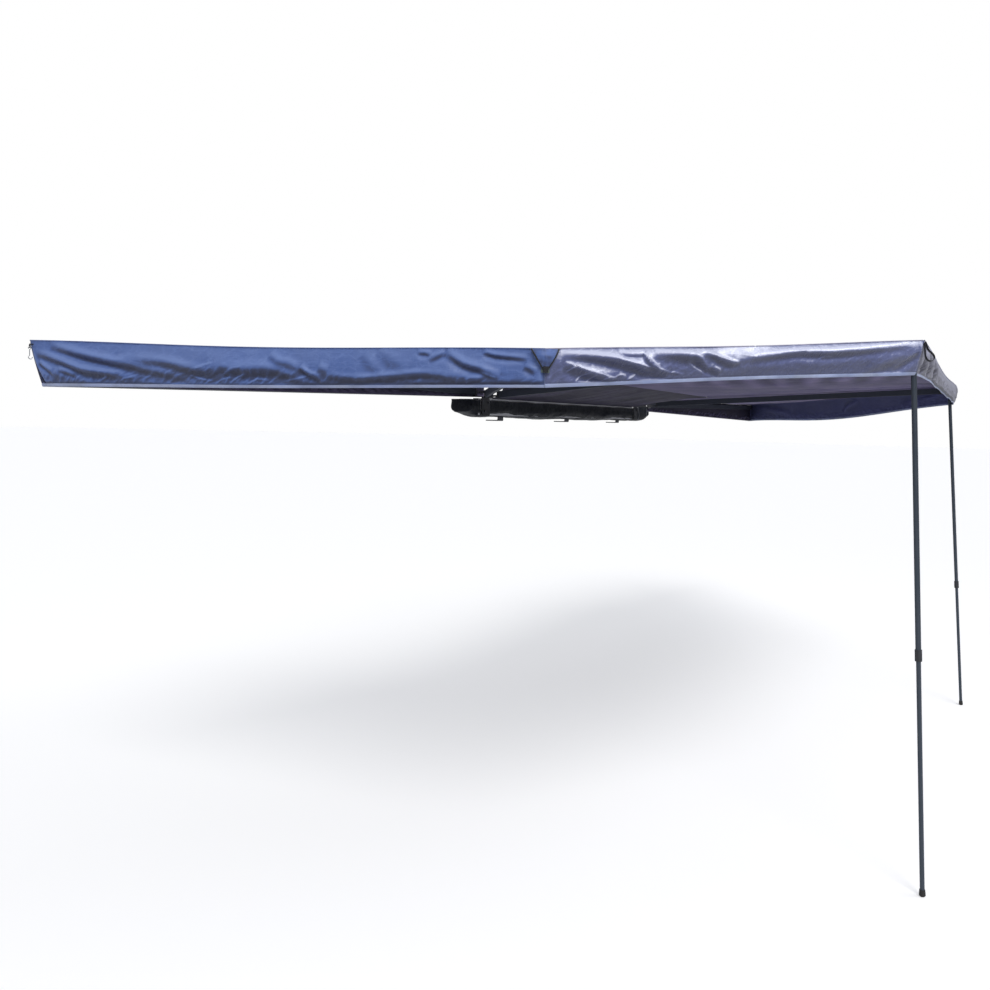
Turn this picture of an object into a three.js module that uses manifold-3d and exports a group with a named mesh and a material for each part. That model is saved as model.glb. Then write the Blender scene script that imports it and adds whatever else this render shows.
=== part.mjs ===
// Vehicle side awning, opened round a corner: a rail on three rack brackets carries two hubs, five arms
// swing out from the hubs, two telescopic poles stand under the side arms, and a cloth roof with a hanging
// valance is stretched over the arms. All lengths are in millimetres.
// X runs along the rail towards the rear of the vehicle, Y towards the vehicle, Z up.
// The origin is the centre of the middle rack bracket's foot, on its underside.
import * as THREE from 'three';
import { mergeVertices } from 'three/addons/utils/BufferGeometryUtils.js';
import Module from 'manifold-3d';

const wasm = await Module();
wasm.setup();

// Driving dimensions

const clearance = 0.3; // gap left between two pieces that touch
const overrun = 4; // how far a cutting solid runs past what it cuts
const degree = Math.PI / 180;
const groundDrop = 1870; // from the bracket feet down to the ground

const rail = {
  length: 2540, rearEnd: 1290, depth: 32, height: 94, floorGap: 30, wall: 3, corner: 3,
  slotHeight: 47, slotMouth: 9, slotLip: 2.5, slotWidth: 17.5, slotDepth: 9,
  beadRadius: 3.5, beadMouth: 3, beadLip: 1.5, beadInset: 8, capThickness: 3, capPlug: 14,
};

const bracket = {
  width: 60, plate: 6, foot: 84, upright: 104, bend: 6, frontInset: 320, rearInset: 360,
  slotLength: 25, slotWidth: 9, slotSpacing: 36, boltRadius: 3.9, boltHead: 5, nut: 6.5, nutRadius: 7.5,
};

const bag = {
  frontOverhang: 100, rearOverhang: 260, wall: 3, inboardDepth: 108, height: 86, cornerRadius: 55,
};

const hub = {
  plate: 6, eyeRadius: 20, pinRadius: 7.7, pinHead: 5, pinHeadRadius: 12,
  flangeWidth: 84, flangeBottom: 35, lug: 10, lugGap: 0.5, levels: 3, roomAbove: 2.5,
  boltRadius: 3.9, boltHead: 5.3, boltHeadRadius: 7, nut: 6,
  upperBoltHeight: 102, upperBoltPlace: 26, lowerBoltHeight: 52, lowerBoltPlace: -12,
};
const hubInset = { front: 70, rear: 80 }; // from the rail's end to the hub's pin
const frontHub = {
  x: rail.rearEnd - rail.length + hubInset.front, reach: 50, earFrom: 12, earTo: 40,
};
const rearHub = { x: rail.rearEnd - hubInset.rear, reach: 135, earFrom: -25, earTo: 25, rib: 6 };

// bearing: degrees from the rear, turning outboard. offset: how far the tube lies to the left of the pin.
const arms = {
  front: { hub: frontHub, bearing: 200.1, reach: 2303, offset: -56, root: 156, climb: 102, level: 2 },
  front_corner: { hub: frontHub, bearing: 145.3, reach: 2196, offset: -28, root: 145, climb: 62, level: 1 },
  side_front: { hub: frontHub, bearing: 101.8, reach: 2243, offset: 0, root: 140, climb: 186, level: 0 },
  side_rear: { hub: rearHub, bearing: 89.5, reach: 2133, offset: 0, root: 150, climb: 113, level: 0 },
  rear: { hub: rearHub, bearing: 8.4, reach: 2162, offset: 28, root: 145, climb: 28, level: 1 },
};

const tube = { width: 20, height: 38, wall: 2, corner: 2 };
const root = {
  lugRadius: 18, lugWidth: 16, shift: 38, shoulderFrom: 58, shoulder: 12, shoulderWidth: 22,
  shoulderHeight: 42, insert: 60,
};
const tip = { width: 24, crown: 2.5, nose: 14, insert: 45, sleeve: 96, sleeveWall: 2.2, endWall: 8 };
const eye = { stem: 2.4, stemReach: 17, ringRadius: 7, wire: 2, height: 8, button: 6, buttonThickness: 2 };
const hook = {
  wire: 1.6, loopRadius: 5, length: 44, bendRadius: 7, loopAngles: [-40, 262], bendAngles: [60, -190],
};
const webbing = { thickness: 1.8, width: 18, loopRadius: 13, drop: 46 };

const pole = {
  pivotInset: 31, pivotDrop: 44, earThickness: 3, earGap: 14.6, earRadius: 10.5, tongue: 8, tongueThickness: 14,
  pinRadius: 4, pinHead: 2.5, pinHeadRadius: 6.5, upperRadius: 10.7, upperWall: 1.3, lowerRadius: 9.1,
  lowerWall: 1.5, shoulderDrop: 16, tubeTop: 21, tubeDrop: 26, overlap: 150,
  collarAbove: 26, collarBelow: 20, collarRadius: 13.4, collarLobe: 0.7, collarLobes: 10,
  footRadius: 12.5, footCup: 28, footSole: 10, footEdge: 4, footLip: 2,
};
const poles = {
  front: { arm: 'side_front', lean: 4.1, jointHeight: 975 },
  rear: { arm: 'side_rear', lean: 5.1, jointHeight: 825 },
};

const cloth = {
  thickness: 1.2, seamGap: 0.4, endInset: 3.2, lift: 1.6, apexGap: 8, apexReach: 30, freeEdge: 14, freeEdgeStart: 62,
  roofSag: 30, edgeSag: 14, innerLine: 600, stripStart: 60, stripInset: 20, stripSag: 12,
  foldDepth: 9, crinkleDepth: 3, calmShare: 0.12,
};
// How far each corner of the roof stands out past its arm, and how deep the valance hangs there.
const corners = {
  front: { standoff: 12, drop: 178 },
  front_corner: { standoff: 5, drop: 123 },
  side_front: { standoff: 8, drop: 126 },
  side_rear: { standoff: 9, drop: 118 },
  rear: { standoff: 21, drop: 155 },
};
const endDrops = { front: 54, rear: 92 }; // depth of the two end valances at the hub
const flap = { topWidth: 80, bottomWidth: 24, drop: 56, standoff: 0.8, thickness: 1.4 };
const buckle = { width: 27, height: 17, thickness: 6, slotWidth: 17, slotHeight: 3, slotSpacing: 7, gap: 0.6 };

// Counts of facets
const facets = {
  round: 20, small: 12, arc: 5, corner: 1, wire: 3, roofAcross: 16, roofOut: 9, valanceAlong: 30, valanceDown: 5,
};

// Values worked out from the driving dimensions

const railTop = rail.floorGap + rail.height;
const railFront = rail.rearEnd - rail.length;
const bagFace = rail.depth / 2 + clearance + bag.wall;
const flangeFace = bagFace + clearance;
const tubeBore = { width: tube.width - 2 * tube.wall, height: tube.height - 2 * tube.wall };
const lowestLug = hub.lugGap + hub.plate;
const hubFloor = arms.side_front.root - tube.height / 2 + hub.plate + hub.lugGap / 2;
const lugStack = hub.levels * (hub.lug + hub.lugGap) + hub.roomAbove;
const hubTop = hubFloor + hub.plate + lugStack + hub.plate;
const apexHeight = hubTop + hub.pinHead + cloth.apexGap;
const footCentre = rail.depth / 2 + clearance + bracket.foot / 2;
const bracketFace = rail.depth / 2 + clearance + bracket.plate;
const poleBore = pole.upperRadius - pole.upperWall;
const tipTop = tube.height / 2 + tip.crown;

// Finishes

const finishes = {
  aluminium: { color: 0xb9bcc0, metalness: 0.9, roughness: 0.4 },
  steel: { color: 0x16181c, metalness: 0.3, roughness: 0.55 },
  zinc: { color: 0xa9adb0, metalness: 0.9, roughness: 0.35 },
  arm: { color: 0x232a36, metalness: 0.2, roughness: 0.5 },
  pole: { color: 0x2b3442, metalness: 0.5, roughness: 0.4 },
  plastic: { color: 0x17191d, metalness: 0, roughness: 0.6 },
  rubber: { color: 0x101113, metalness: 0, roughness: 0.85 },
  pvc: { color: 0x14161b, metalness: 0, roughness: 0.5 },
  cloth: { color: 0x40568a, metalness: 0, roughness: 0.7 },
  innerCloth: { color: 0x1f2330, metalness: 0, roughness: 0.75 },
  buckle: { color: 0x5c6a6c, metalness: 0, roughness: 0.5 },
  webbing: { color: 0x14151a, metalness: 0, roughness: 0.9 },
};

// Working with solids

const mergeShare = 1e-4;

function solid(geometry) {
  const flat = geometry.index ? geometry.toNonIndexed() : geometry;
  const bare = new THREE.BufferGeometry().setAttribute('position', flat.getAttribute('position'));
  const merged = mergeVertices(bare, mergeShare);
  return new wasm.Manifold(new wasm.Mesh({
    numProp: 3,
    vertProperties: merged.attributes.position.array,
    triVerts: new Uint32Array(merged.index.array),
  }));
}

function geometryOf(manifold) {
  const { vertProperties, triVerts } = manifold.getMesh();
  const geometry = new THREE.BufferGeometry();
  geometry.setAttribute('position', new THREE.BufferAttribute(new Float32Array(vertProperties), 3));
  geometry.setIndex(new THREE.BufferAttribute(new Uint32Array(triVerts), 1));
  const faceted = geometry.toNonIndexed();
  faceted.computeVertexNormals();
  return faceted;
}

const joined = (...pieces) => geometryOf(wasm.Manifold.union(pieces.map(solid)));
const cut = (piece, ...tools) => geometryOf(solid(piece).subtract(wasm.Manifold.union(tools.map(solid))));

function node(name, geometry, finish) {
  const mesh = new THREE.Mesh(geometry, new THREE.MeshStandardMaterial(finishes[finish]));
  mesh.name = name;
  return mesh;
}

function grouped(...children) {
  const group = new THREE.Group();
  group.add(...children);
  return group;
}

// Simple forms

function box(x0, x1, y0, y1, z0, z1) {
  return new THREE.BoxGeometry(x1 - x0, y1 - y0, z1 - z0)
    .translate((x0 + x1) / 2, (y0 + y1) / 2, (z0 + z1) / 2);
}

function roundedRectangle(x0, x1, y0, y1, radius) {
  const shape = new THREE.Shape();
  shape.moveTo(x0 + radius, y0).lineTo(x1 - radius, y0);
  shape.absarc(x1 - radius, y0 + radius, radius, -Math.PI / 2, 0);
  shape.lineTo(x1, y1 - radius);
  shape.absarc(x1 - radius, y1 - radius, radius, 0, Math.PI / 2);
  shape.lineTo(x0 + radius, y1);
  shape.absarc(x0 + radius, y1 - radius, radius, Math.PI / 2, Math.PI);
  shape.lineTo(x0, y0 + radius);
  shape.absarc(x0 + radius, y0 + radius, radius, Math.PI, 1.5 * Math.PI);
  return shape;
}

function circle(x, y, radius) {
  const shape = new THREE.Shape();
  shape.absarc(x, y, radius, 0, 2 * Math.PI);
  return shape;
}

const slab = (shape, z0, z1, segments = facets.corner) =>
  new THREE.ExtrudeGeometry(shape, { depth: z1 - z0, bevelEnabled: false, curveSegments: segments })
    .translate(0, 0, z0);

// A section drawn across and up, drawn out along X.
const alongX = (shape, x0, x1, segments) =>
  slab(shape, x0, x1, segments).rotateX(Math.PI / 2).rotateZ(Math.PI / 2);

// A side outline drawn along X and up, drawn out along Y.
const alongY = (shape, y0, y1, segments) => slab(shape, -y1, -y0, segments).rotateX(Math.PI / 2);

const rod = (radius, z0, z1, sides = facets.round) =>
  new THREE.CylinderGeometry(radius, radius, z1 - z0, sides).rotateX(Math.PI / 2)
    .translate(0, 0, (z0 + z1) / 2);

const rodAlongX = (radius, x0, x1, sides) => rod(radius, x0, x1, sides).rotateY(Math.PI / 2);
const rodAlongY = (radius, y0, y1, sides) => rod(radius, -y1, -y0, sides).rotateX(Math.PI / 2);
const pipe = (outer, inner, z0, z1, sides) =>
  cut(rod(outer, z0, z1, sides), rod(inner, z0 - overrun, z1 + overrun, sides));

// Rail

function railProfile() {
  const half = rail.depth / 2;
  const slotLow = rail.slotHeight - rail.slotMouth / 2;
  const slotHigh = rail.slotHeight + rail.slotMouth / 2;
  const widen = (rail.slotWidth - rail.slotMouth) / 2;
  const bead = { x: -half + rail.beadInset, opening: Math.asin(rail.beadMouth / 2 / rail.beadRadius) };
  bead.y = rail.height - rail.beadLip - rail.beadRadius * Math.cos(bead.opening);
  const shape = new THREE.Shape();
  shape.moveTo(-half, 0).lineTo(half, 0).lineTo(half, slotLow).lineTo(half - rail.slotLip, slotLow);
  shape.lineTo(half - rail.slotLip, slotLow - widen).lineTo(half - rail.slotDepth, slotLow - widen);
  shape.lineTo(half - rail.slotDepth, slotHigh + widen).lineTo(half - rail.slotLip, slotHigh + widen);
  shape.lineTo(half - rail.slotLip, slotHigh).lineTo(half, slotHigh).lineTo(half, rail.height);
  shape.lineTo(bead.x + rail.beadMouth / 2, rail.height);
  shape.absarc(bead.x, bead.y, rail.beadRadius, Math.PI / 2 - bead.opening, Math.PI / 2 + bead.opening, true);
  shape.lineTo(bead.x - rail.beadMouth / 2, rail.height).lineTo(-half, rail.height);
  shape.holes.push(lowerCavity(0), upperCavity(0));
  return shape;
}

function lowerCavity(inset) {
  const half = rail.depth / 2 - rail.wall - inset;
  const top = rail.slotHeight - rail.slotWidth / 2 - rail.wall - inset;
  return roundedRectangle(-half, half, rail.wall + inset, top, rail.corner - inset);
}

function upperCavity(inset) {
  const half = rail.depth / 2 - rail.wall - inset;
  const bottom = rail.slotHeight + rail.slotWidth / 2 + rail.wall + inset;
  const top = rail.height - rail.beadLip - 2 * rail.beadRadius - rail.wall - inset;
  return roundedRectangle(-half, half, bottom, top, rail.corner - inset);
}

function hubBoltPlaces(end) {
  return [
    { x: end.x + hub.lowerBoltPlace, z: hub.lowerBoltHeight },
    { x: end.x + hub.upperBoltPlace, z: hub.upperBoltHeight },
  ];
}

const hubBoltHole = ({ x, z }) =>
  rodAlongY(hub.boltRadius + clearance, -flangeFace - hub.plate - overrun, -rail.depth / 2 + rail.wall + overrun)
    .translate(x, 0, z);

function makeRail() {
  const profile = alongX(railProfile(), railFront, rail.rearEnd).translate(0, 0, rail.floorGap);
  const holes = [frontHub, rearHub].flatMap(hubBoltPlaces).map(hubBoltHole);
  return node('base_rail', cut(profile, ...holes), 'aluminium');
}

function makeRailCap(name, outward) {
  const end = outward < 0 ? railFront : rail.rearEnd;
  const inner = end + outward * clearance;
  const outer = inner + outward * rail.capThickness;
  const face = roundedRectangle(-rail.depth / 2, rail.depth / 2, 0, rail.height, rail.corner);
  const plugEnd = end - outward * rail.capPlug;
  const plate = alongX(face, Math.min(inner, outer), Math.max(inner, outer));
  const plugs = [lowerCavity(clearance), upperCavity(clearance)]
    .map((shape) => alongX(shape, Math.min(plugEnd, outer), Math.max(plugEnd, outer)));
  return node(name, joined(plate, ...plugs).translate(0, 0, rail.floorGap), 'plastic');
}

// Rack brackets: an L under the rail's inboard face, hung on a T-bolt in the rail's slot

const boltHeight = rail.floorGap + rail.slotHeight;

function bracketSection() {
  const inner = rail.depth / 2 + clearance;
  const shape = new THREE.Shape();
  shape.moveTo(inner + bracket.bend, 0).lineTo(inner + bracket.foot, 0);
  shape.lineTo(inner + bracket.foot, bracket.plate).lineTo(inner + bracket.plate + bracket.bend, bracket.plate);
  shape.absarc(inner + bracket.plate + bracket.bend, bracket.plate + bracket.bend, bracket.bend,
    -Math.PI / 2, -Math.PI, true);
  shape.lineTo(inner + bracket.plate, bracket.upright).lineTo(inner, bracket.upright);
  shape.lineTo(inner, bracket.bend);
  shape.absarc(inner + bracket.bend, bracket.bend, bracket.bend, Math.PI, 1.5 * Math.PI);
  return shape;
}

function footSlot(x) {
  const half = bracket.slotLength / 2;
  const shape = roundedRectangle(x - bracket.slotWidth / 2, x + bracket.slotWidth / 2,
    footCentre - half, footCentre + half, bracket.slotWidth / 2);
  return slab(shape, -overrun, bracket.plate + overrun);
}

function makeBracket(name, x) {
  const body = alongX(bracketSection(), -bracket.width / 2, bracket.width / 2);
  const boltHole = rodAlongY(bracket.boltRadius + clearance, 0, bracketFace + overrun, facets.small)
    .translate(0, 0, boltHeight);
  const slots = [-bracket.slotSpacing / 2, bracket.slotSpacing / 2].map(footSlot);
  return node(name, cut(body, boltHole, ...slots).translate(x, 0, 0), 'steel');
}

function makeBracketBolt(name, x) {
  const half = rail.depth / 2;
  const headBack = half - rail.slotDepth + clearance;
  const headFront = half - rail.slotLip - clearance;
  const headHalf = rail.slotWidth / 2 - 2 * clearance;
  const nutBack = bracketFace + clearance;
  const bolt = joined(
    box(-headHalf, headHalf, headBack, headFront, -headHalf, headHalf),
    rodAlongY(bracket.boltRadius, headBack, nutBack + bracket.nut + bracket.plate / 2, facets.small),
    rodAlongY(bracket.nutRadius, nutBack, nutBack + bracket.nut, 6),
  );
  return node(name, bolt.translate(x, 0, boltHeight), 'zinc');
}

// Bag: an open trough that the rail stands in

const bagEnds = { front: railFront - bag.frontOverhang, rear: rail.rearEnd + bag.rearOverhang };
const bagBottom = rail.floorGap - clearance - bag.wall;

function bagOutline(inset) {
  return roundedRectangle(bagEnds.front + inset, bagEnds.rear - inset, -bagFace + inset, bag.inboardDepth - inset,
    bag.cornerRadius - inset);
}

// What lies between four upright planes
const kept = (piece, x0, x1, y0, y1) => geometryOf(solid(piece)
  .intersect(solid(box(x0, x1, y0, y1, bagBottom - overrun, bagBottom + bag.height + overrun))));

// The floor, two long walls and two rounded end walls, sewn together along their edges
function makeBagPanels() {
  const ring = cut(slab(bagOutline(0), bagBottom, bagBottom + bag.height, facets.arc),
    slab(bagOutline(bag.wall), bagBottom - overrun, bagBottom + bag.height + overrun, facets.arc));
  const holes = [frontHub, rearHub].flatMap(hubBoltPlaces).map(hubBoltHole);
  const slots = bracketPlaces.map((x) => box(x - bracket.width / 2 - clearance, x + bracket.width / 2 + clearance,
    rail.depth / 2 - clearance, bracketFace + clearance, bagBottom - overrun, bagBottom + bag.wall + overrun));
  const floor = slab(bagOutline(bag.wall + clearance), bagBottom, bagBottom + bag.wall, facets.arc);
  const [from, to] = [bagEnds.front + bag.cornerRadius, bagEnds.rear - bag.cornerRadius];
  const [out, across] = [overrun, bag.cornerRadius];
  const half = clearance / 2;
  const wall = (y0, y1) => kept(ring, from + half, to - half, y0, y1);
  const end = (x0, x1) => kept(ring, x0, x1, -bagFace - out, bag.inboardDepth + out);
  return [
    node('bag_floor', cut(floor, ...slots), 'pvc'),
    node('bag_outer_wall', cut(wall(-bagFace - out, -bagFace + across), ...holes), 'pvc'),
    node('bag_inner_wall', wall(bag.inboardDepth - across, bag.inboardDepth + out), 'pvc'),
    node('bag_end_front', end(bagEnds.front - out, from - half), 'pvc'),
    node('bag_end_rear', end(to + half, bagEnds.rear + out), 'pvc'),
  ];
}

const bracketPlaces = [railFront + bracket.frontInset, 0, rail.rearEnd - bracket.rearInset];

// Hubs: a flange on the rail's outboard face and two plates that hold the pin

function hubPlate(end, from, to) {
  const shape = new THREE.Shape();
  shape.moveTo(from, -flangeFace).lineTo(from, -flangeFace - hub.plate);
  shape.lineTo(-hub.eyeRadius, -end.reach);
  shape.absarc(0, -end.reach, hub.eyeRadius, Math.PI, 2 * Math.PI);
  shape.lineTo(to, -flangeFace - hub.plate).lineTo(to, -flangeFace);
  return shape;
}

// A bolt welded to the flange, with its nut inside the rail
function hubBolt({ x, z }) {
  const headBack = -flangeFace - hub.plate;
  const nutFront = -rail.depth / 2 + rail.wall + clearance;
  return [
    rodAlongY(hub.boltHeadRadius, headBack - hub.boltHead, headBack + clearance, 6),
    rodAlongY(hub.boltRadius, headBack, nutFront + hub.nut, facets.small),
    rodAlongY(hub.boltHeadRadius, nutFront, nutFront + hub.nut, 6),
  ].map((piece) => piece.translate(x, 0, z));
}

function makeHubBracket(name, end) {
  const half = hub.flangeWidth / 2;
  const back = -flangeFace - hub.plate;
  const pieces = [
    box(-half, half, back, -flangeFace, hub.flangeBottom, hubFloor + hub.plate),
    box(end.earFrom, end.earTo, back, -flangeFace, hubFloor, hubTop),
    slab(hubPlate(end, -half, half), hubFloor, hubFloor + hub.plate, facets.arc),
    slab(hubPlate(end, end.earFrom, end.earTo), hubTop - hub.plate, hubTop, facets.arc),
  ];
  if (end.rib) {
    const ribEnd = -end.reach + root.lugRadius + hub.plate;
    pieces.push(box(-end.rib / 2, end.rib / 2, ribEnd, -flangeFace, hubFloor, hubTop));
  }
  const bore = rod(hub.pinRadius + clearance, hubFloor - overrun, hubTop + overrun).translate(0, -end.reach, 0);
  const bolts = hubBoltPlaces({ x: 0 }).flatMap(hubBolt);
  return node(name, cut(joined(...pieces, ...bolts), bore).translate(end.x, 0, 0), 'steel');
}

function makeHubPin(name, end) {
  const lower = hubFloor - clearance;
  const upper = hubTop + clearance;
  const pin = joined(
    rod(hub.pinRadius, lower - hub.pinHead, upper + hub.pinHead),
    rod(hub.pinHeadRadius, upper, upper + hub.pinHead, 6),
    rod(hub.pinHeadRadius, lower - hub.pinHead, lower),
  );
  return node(name, pin.translate(end.x, -end.reach, 0), 'zinc');
}

function lugBottom(level) {
  return hubFloor + lowestLug + level * (hub.lug + hub.lugGap);
}

function makeHubSpacer() {
  const from = lugBottom(arms.rear.level + 1);
  const to = hubTop - hub.plate - hub.lugGap;
  const ring = pipe(root.lugRadius - clearance, hub.pinRadius + clearance, from, to);
  return node('hub_spacer_rear', ring.translate(rearHub.x, -rearHub.reach, 0), 'plastic');
}

// Arms: each is modelled pointing along X from its hub's pin, then turned to its bearing

const armSlope = (arm) => Math.atan2(arm.climb, arm.reach);
const armLength = (arm) => Math.hypot(arm.climb, arm.reach);

const onSlope = (geometry, arm) => geometry.rotateY(-armSlope(arm)).translate(0, arm.offset, arm.root);

function lugOutline(arm) {
  const half = root.lugWidth / 2;
  const end = root.shoulderFrom + root.shoulder / 2;
  const shape = new THREE.Shape();
  shape.absarc(0, 0, root.lugRadius, Math.PI / 2, 1.5 * Math.PI);
  shape.lineTo(root.shift, arm.offset - half).lineTo(end, arm.offset - half);
  shape.lineTo(end, arm.offset + half).lineTo(root.shift, arm.offset + half);
  return shape;
}

function makeArmRoot(name, arm) {
  const lug = slab(lugOutline(arm), lugBottom(arm.level), lugBottom(arm.level) + hub.lug, facets.arc);
  const shoulderEnd = root.shoulderFrom + root.shoulder;
  const across = root.shoulderWidth / 2;
  const up = root.shoulderHeight / 2;
  const shoulder = onSlope(box(root.shoulderFrom, shoulderEnd, -across, across, -up, up), arm);
  const insertAcross = tubeBore.width / 2 - clearance;
  const insertUp = tubeBore.height / 2 - clearance;
  const insertShape = roundedRectangle(-insertAcross, insertAcross, -insertUp, insertUp, tube.corner);
  const insert = onSlope(alongX(insertShape, root.shoulderFrom, shoulderEnd + root.insert), arm);
  const bore = rod(hub.pinRadius + clearance, hubFloor, hubTop);
  return node(name, cut(joined(lug, shoulder, insert), bore), 'steel');
}

function tubeSection(grow, radius) {
  const across = tube.width / 2 + grow;
  const up = tube.height / 2 + grow;
  return roundedRectangle(-across, across, -up, up, radius);
}

function makeArmTube(name, arm, capLength) {
  const section = tubeSection(0, tube.corner);
  section.holes.push(tubeSection(-tube.wall, tube.corner / 2));
  const from = root.shoulderFrom + root.shoulder + clearance;
  const to = armLength(arm) - capLength - clearance;
  return node(name, onSlope(alongX(section, from, to), arm), 'arm');
}

// The nose of a tip: round in plan, as high as the crown
function noseOutline(from, to, halfWidth) {
  const shape = new THREE.Shape();
  shape.moveTo(from, -halfWidth).lineTo(to - halfWidth, -halfWidth);
  shape.absarc(to - halfWidth, 0, halfWidth, -Math.PI / 2, Math.PI / 2);
  shape.lineTo(from, halfWidth);
  return shape;
}

function makePlainTip(name, arm, extra = []) {
  const length = armLength(arm);
  const face = length - tip.nose;
  const across = tubeBore.width / 2 - clearance;
  const up = tubeBore.height / 2 - clearance;
  const nose = slab(noseOutline(face, length, tip.width / 2), -tipTop, tipTop, facets.arc);
  const insert = alongX(roundedRectangle(-across, across, -up, up, tube.corner), face - tip.insert, face + 1);
  return node(name, onSlope(joined(nose, insert, ...extra), arm), 'plastic');
}

// A tip for an arm that stands on a pole: a sleeve over the tube's end with two ears below it
function makeSleeveTip(name, arm, extra = []) {
  const length = armLength(arm);
  const back = length - tip.sleeve;
  const pivot = length - pole.pivotInset;
  const half = tip.width / 2 + clearance;
  const sleeve = slab(noseOutline(back, length, half), -tipTop, tipTop, facets.arc);
  const room = alongX(tubeSection(clearance, tube.corner + clearance), back - overrun, length - tip.endWall);
  const ear = new THREE.Shape();
  ear.moveTo(pivot - pole.earRadius, -tube.height / 2 - tip.crown / 2);
  ear.lineTo(pivot - pole.earRadius, -pole.pivotDrop);
  ear.absarc(pivot, -pole.pivotDrop, pole.earRadius, Math.PI, 2 * Math.PI);
  ear.lineTo(pivot + pole.earRadius, -tube.height / 2 - tip.crown / 2);
  const inner = pole.earGap / 2;
  const outer = inner + pole.earThickness;
  const ears = [[inner, outer], [-outer, -inner]].map(([y0, y1]) => alongY(ear, y0, y1, facets.arc));
  const bore = rodAlongY(pole.pinRadius + clearance, -outer - overrun, outer + overrun, facets.small)
    .translate(pivot, 0, -pole.pivotDrop);
  const shell = cut(joined(sleeve, ...ears, ...extra), room, bore);
  return node(name, onSlope(shell, arm), 'plastic');
}

function makePolePin(name, arm) {
  const outer = pole.earGap / 2 + pole.earThickness + clearance;
  const pin = joined(
    rodAlongY(pole.pinRadius, -outer - pole.pinHead, outer + pole.pinHead, facets.small),
    rodAlongY(pole.pinHeadRadius, outer, outer + pole.pinHead, facets.small),
    rodAlongY(pole.pinHeadRadius, -outer - pole.pinHead, -outer, facets.small),
  );
  pin.translate(armLength(arm) - pole.pivotInset, 0, -pole.pivotDrop);
  return node(name, onSlope(pin, arm), 'zinc');
}

// Fittings at two tips: an eye that carries a hook, and a stud that carries a webbing loop

function eyeOnTip(arm) {
  const length = armLength(arm);
  const stem = rodAlongX(eye.stem, length - tip.nose / 2, length + eye.stemReach, facets.small)
    .translate(0, 0, eye.height);
  const ring = new THREE.TorusGeometry(eye.ringRadius, eye.wire, facets.small / 2, facets.round)
    .rotateY(Math.PI / 2)
    .translate(length + eye.stemReach, 0, eye.height - eye.ringRadius);
  return [stem, ring];
}

const loopStart = (arm) => armLength(arm) + corners.side_front.standoff + cloth.thickness;

function studOnTip(arm) {
  const length = armLength(arm);
  const buttonFrom = loopStart(arm) + 2 * webbing.thickness + clearance;
  const buttonTo = buttonFrom + eye.buttonThickness;
  return [
    rodAlongX(eye.stem, length - tip.nose / 2, buttonTo, facets.small).translate(0, 0, eye.height),
    rodAlongX(eye.button, buttonFrom, buttonTo, facets.small).translate(0, 0, eye.height),
  ];
}

const stemHole = (arm) => inPlace(onSlope(
  rodAlongX(eye.stem + 2 * clearance, armLength(arm) - tip.nose, armLength(arm) + eye.stemReach, facets.small)
    .translate(0, 0, eye.height), arm), arm);

// Where the hook hangs: the middle of the eye's lowest stretch of wire, in the arm's own frame
function hookPivot(arm) {
  const along = armLength(arm) + eye.stemReach;
  const up = eye.height - 2 * eye.ringRadius;
  const slope = armSlope(arm);
  return new THREE.Vector3(
    along * Math.cos(slope) - up * Math.sin(slope),
    arm.offset,
    arm.root + along * Math.sin(slope) + up * Math.cos(slope),
  );
}

// The centre of a closed form's volume
function centreOf(geometry) {
  const p = geometry.getAttribute('position');
  const corner = (i) => new THREE.Vector3().fromBufferAttribute(p, i);
  const centre = new THREE.Vector3();
  let total = 0;
  for (let i = 0; i < p.count; i += 3) {
    const [a, b, c] = [corner(i), corner(i + 1), corner(i + 2)];
    const volume = a.dot(b.clone().cross(c));
    total += volume;
    centre.addScaledVector(a.add(b).add(c), volume / 4);
  }
  return centre.divideScalar(total);
}

function arcPoints(x, z, radius, from, to, steps) {
  return Array.from({ length: steps + 1 }, (_, i) => {
    const angle = THREE.MathUtils.lerp(from, to, i / steps) * degree;
    return new THREE.Vector3(x + radius * Math.cos(angle), 0, z + radius * Math.sin(angle));
  });
}

// A wire hook whose loop rests over the eye; it is turned until its weight hangs under the eye
function makeHook(arm) {
  const loopCentre = eye.wire + clearance + hook.wire - hook.loopRadius;
  const path = new THREE.CatmullRomCurve3([
    ...arcPoints(0, loopCentre, hook.loopRadius, ...hook.loopAngles, facets.small),
    ...arcPoints(-hook.bendRadius / 2, hook.bendRadius - hook.length, hook.bendRadius, ...hook.bendAngles,
      facets.small),
  ]);
  const wire = new THREE.ExtrudeGeometry(circle(0, 0, hook.wire), {
    steps: 2 * facets.round, extrudePath: path, curveSegments: facets.wire, bevelEnabled: false,
  });
  const geometry = wire.index ? wire.toNonIndexed() : wire;
  const centre = centreOf(geometry);
  const mesh = node('tip_hook', geometry, 'zinc');
  mesh.rotation.y = Math.atan2(centre.x, -centre.z);
  mesh.position.copy(hookPivot(arm));
  return mesh;
}

// A band folded double at the top, where the stud goes through it, and open below
function webbingOutline(inset) {
  const low = -webbing.drop + webbing.loopRadius;
  const top = inset ? -webbing.drop / 4 : webbing.width / 2;
  const shape = new THREE.Shape();
  shape.moveTo(inset, top).lineTo(inset, low);
  shape.absarc(webbing.loopRadius, low, webbing.loopRadius - inset, Math.PI, 2 * Math.PI);
  if (!inset) shape.lineTo(2 * webbing.thickness, -webbing.width / 2).lineTo(2 * webbing.thickness, top);
  return shape;
}

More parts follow.
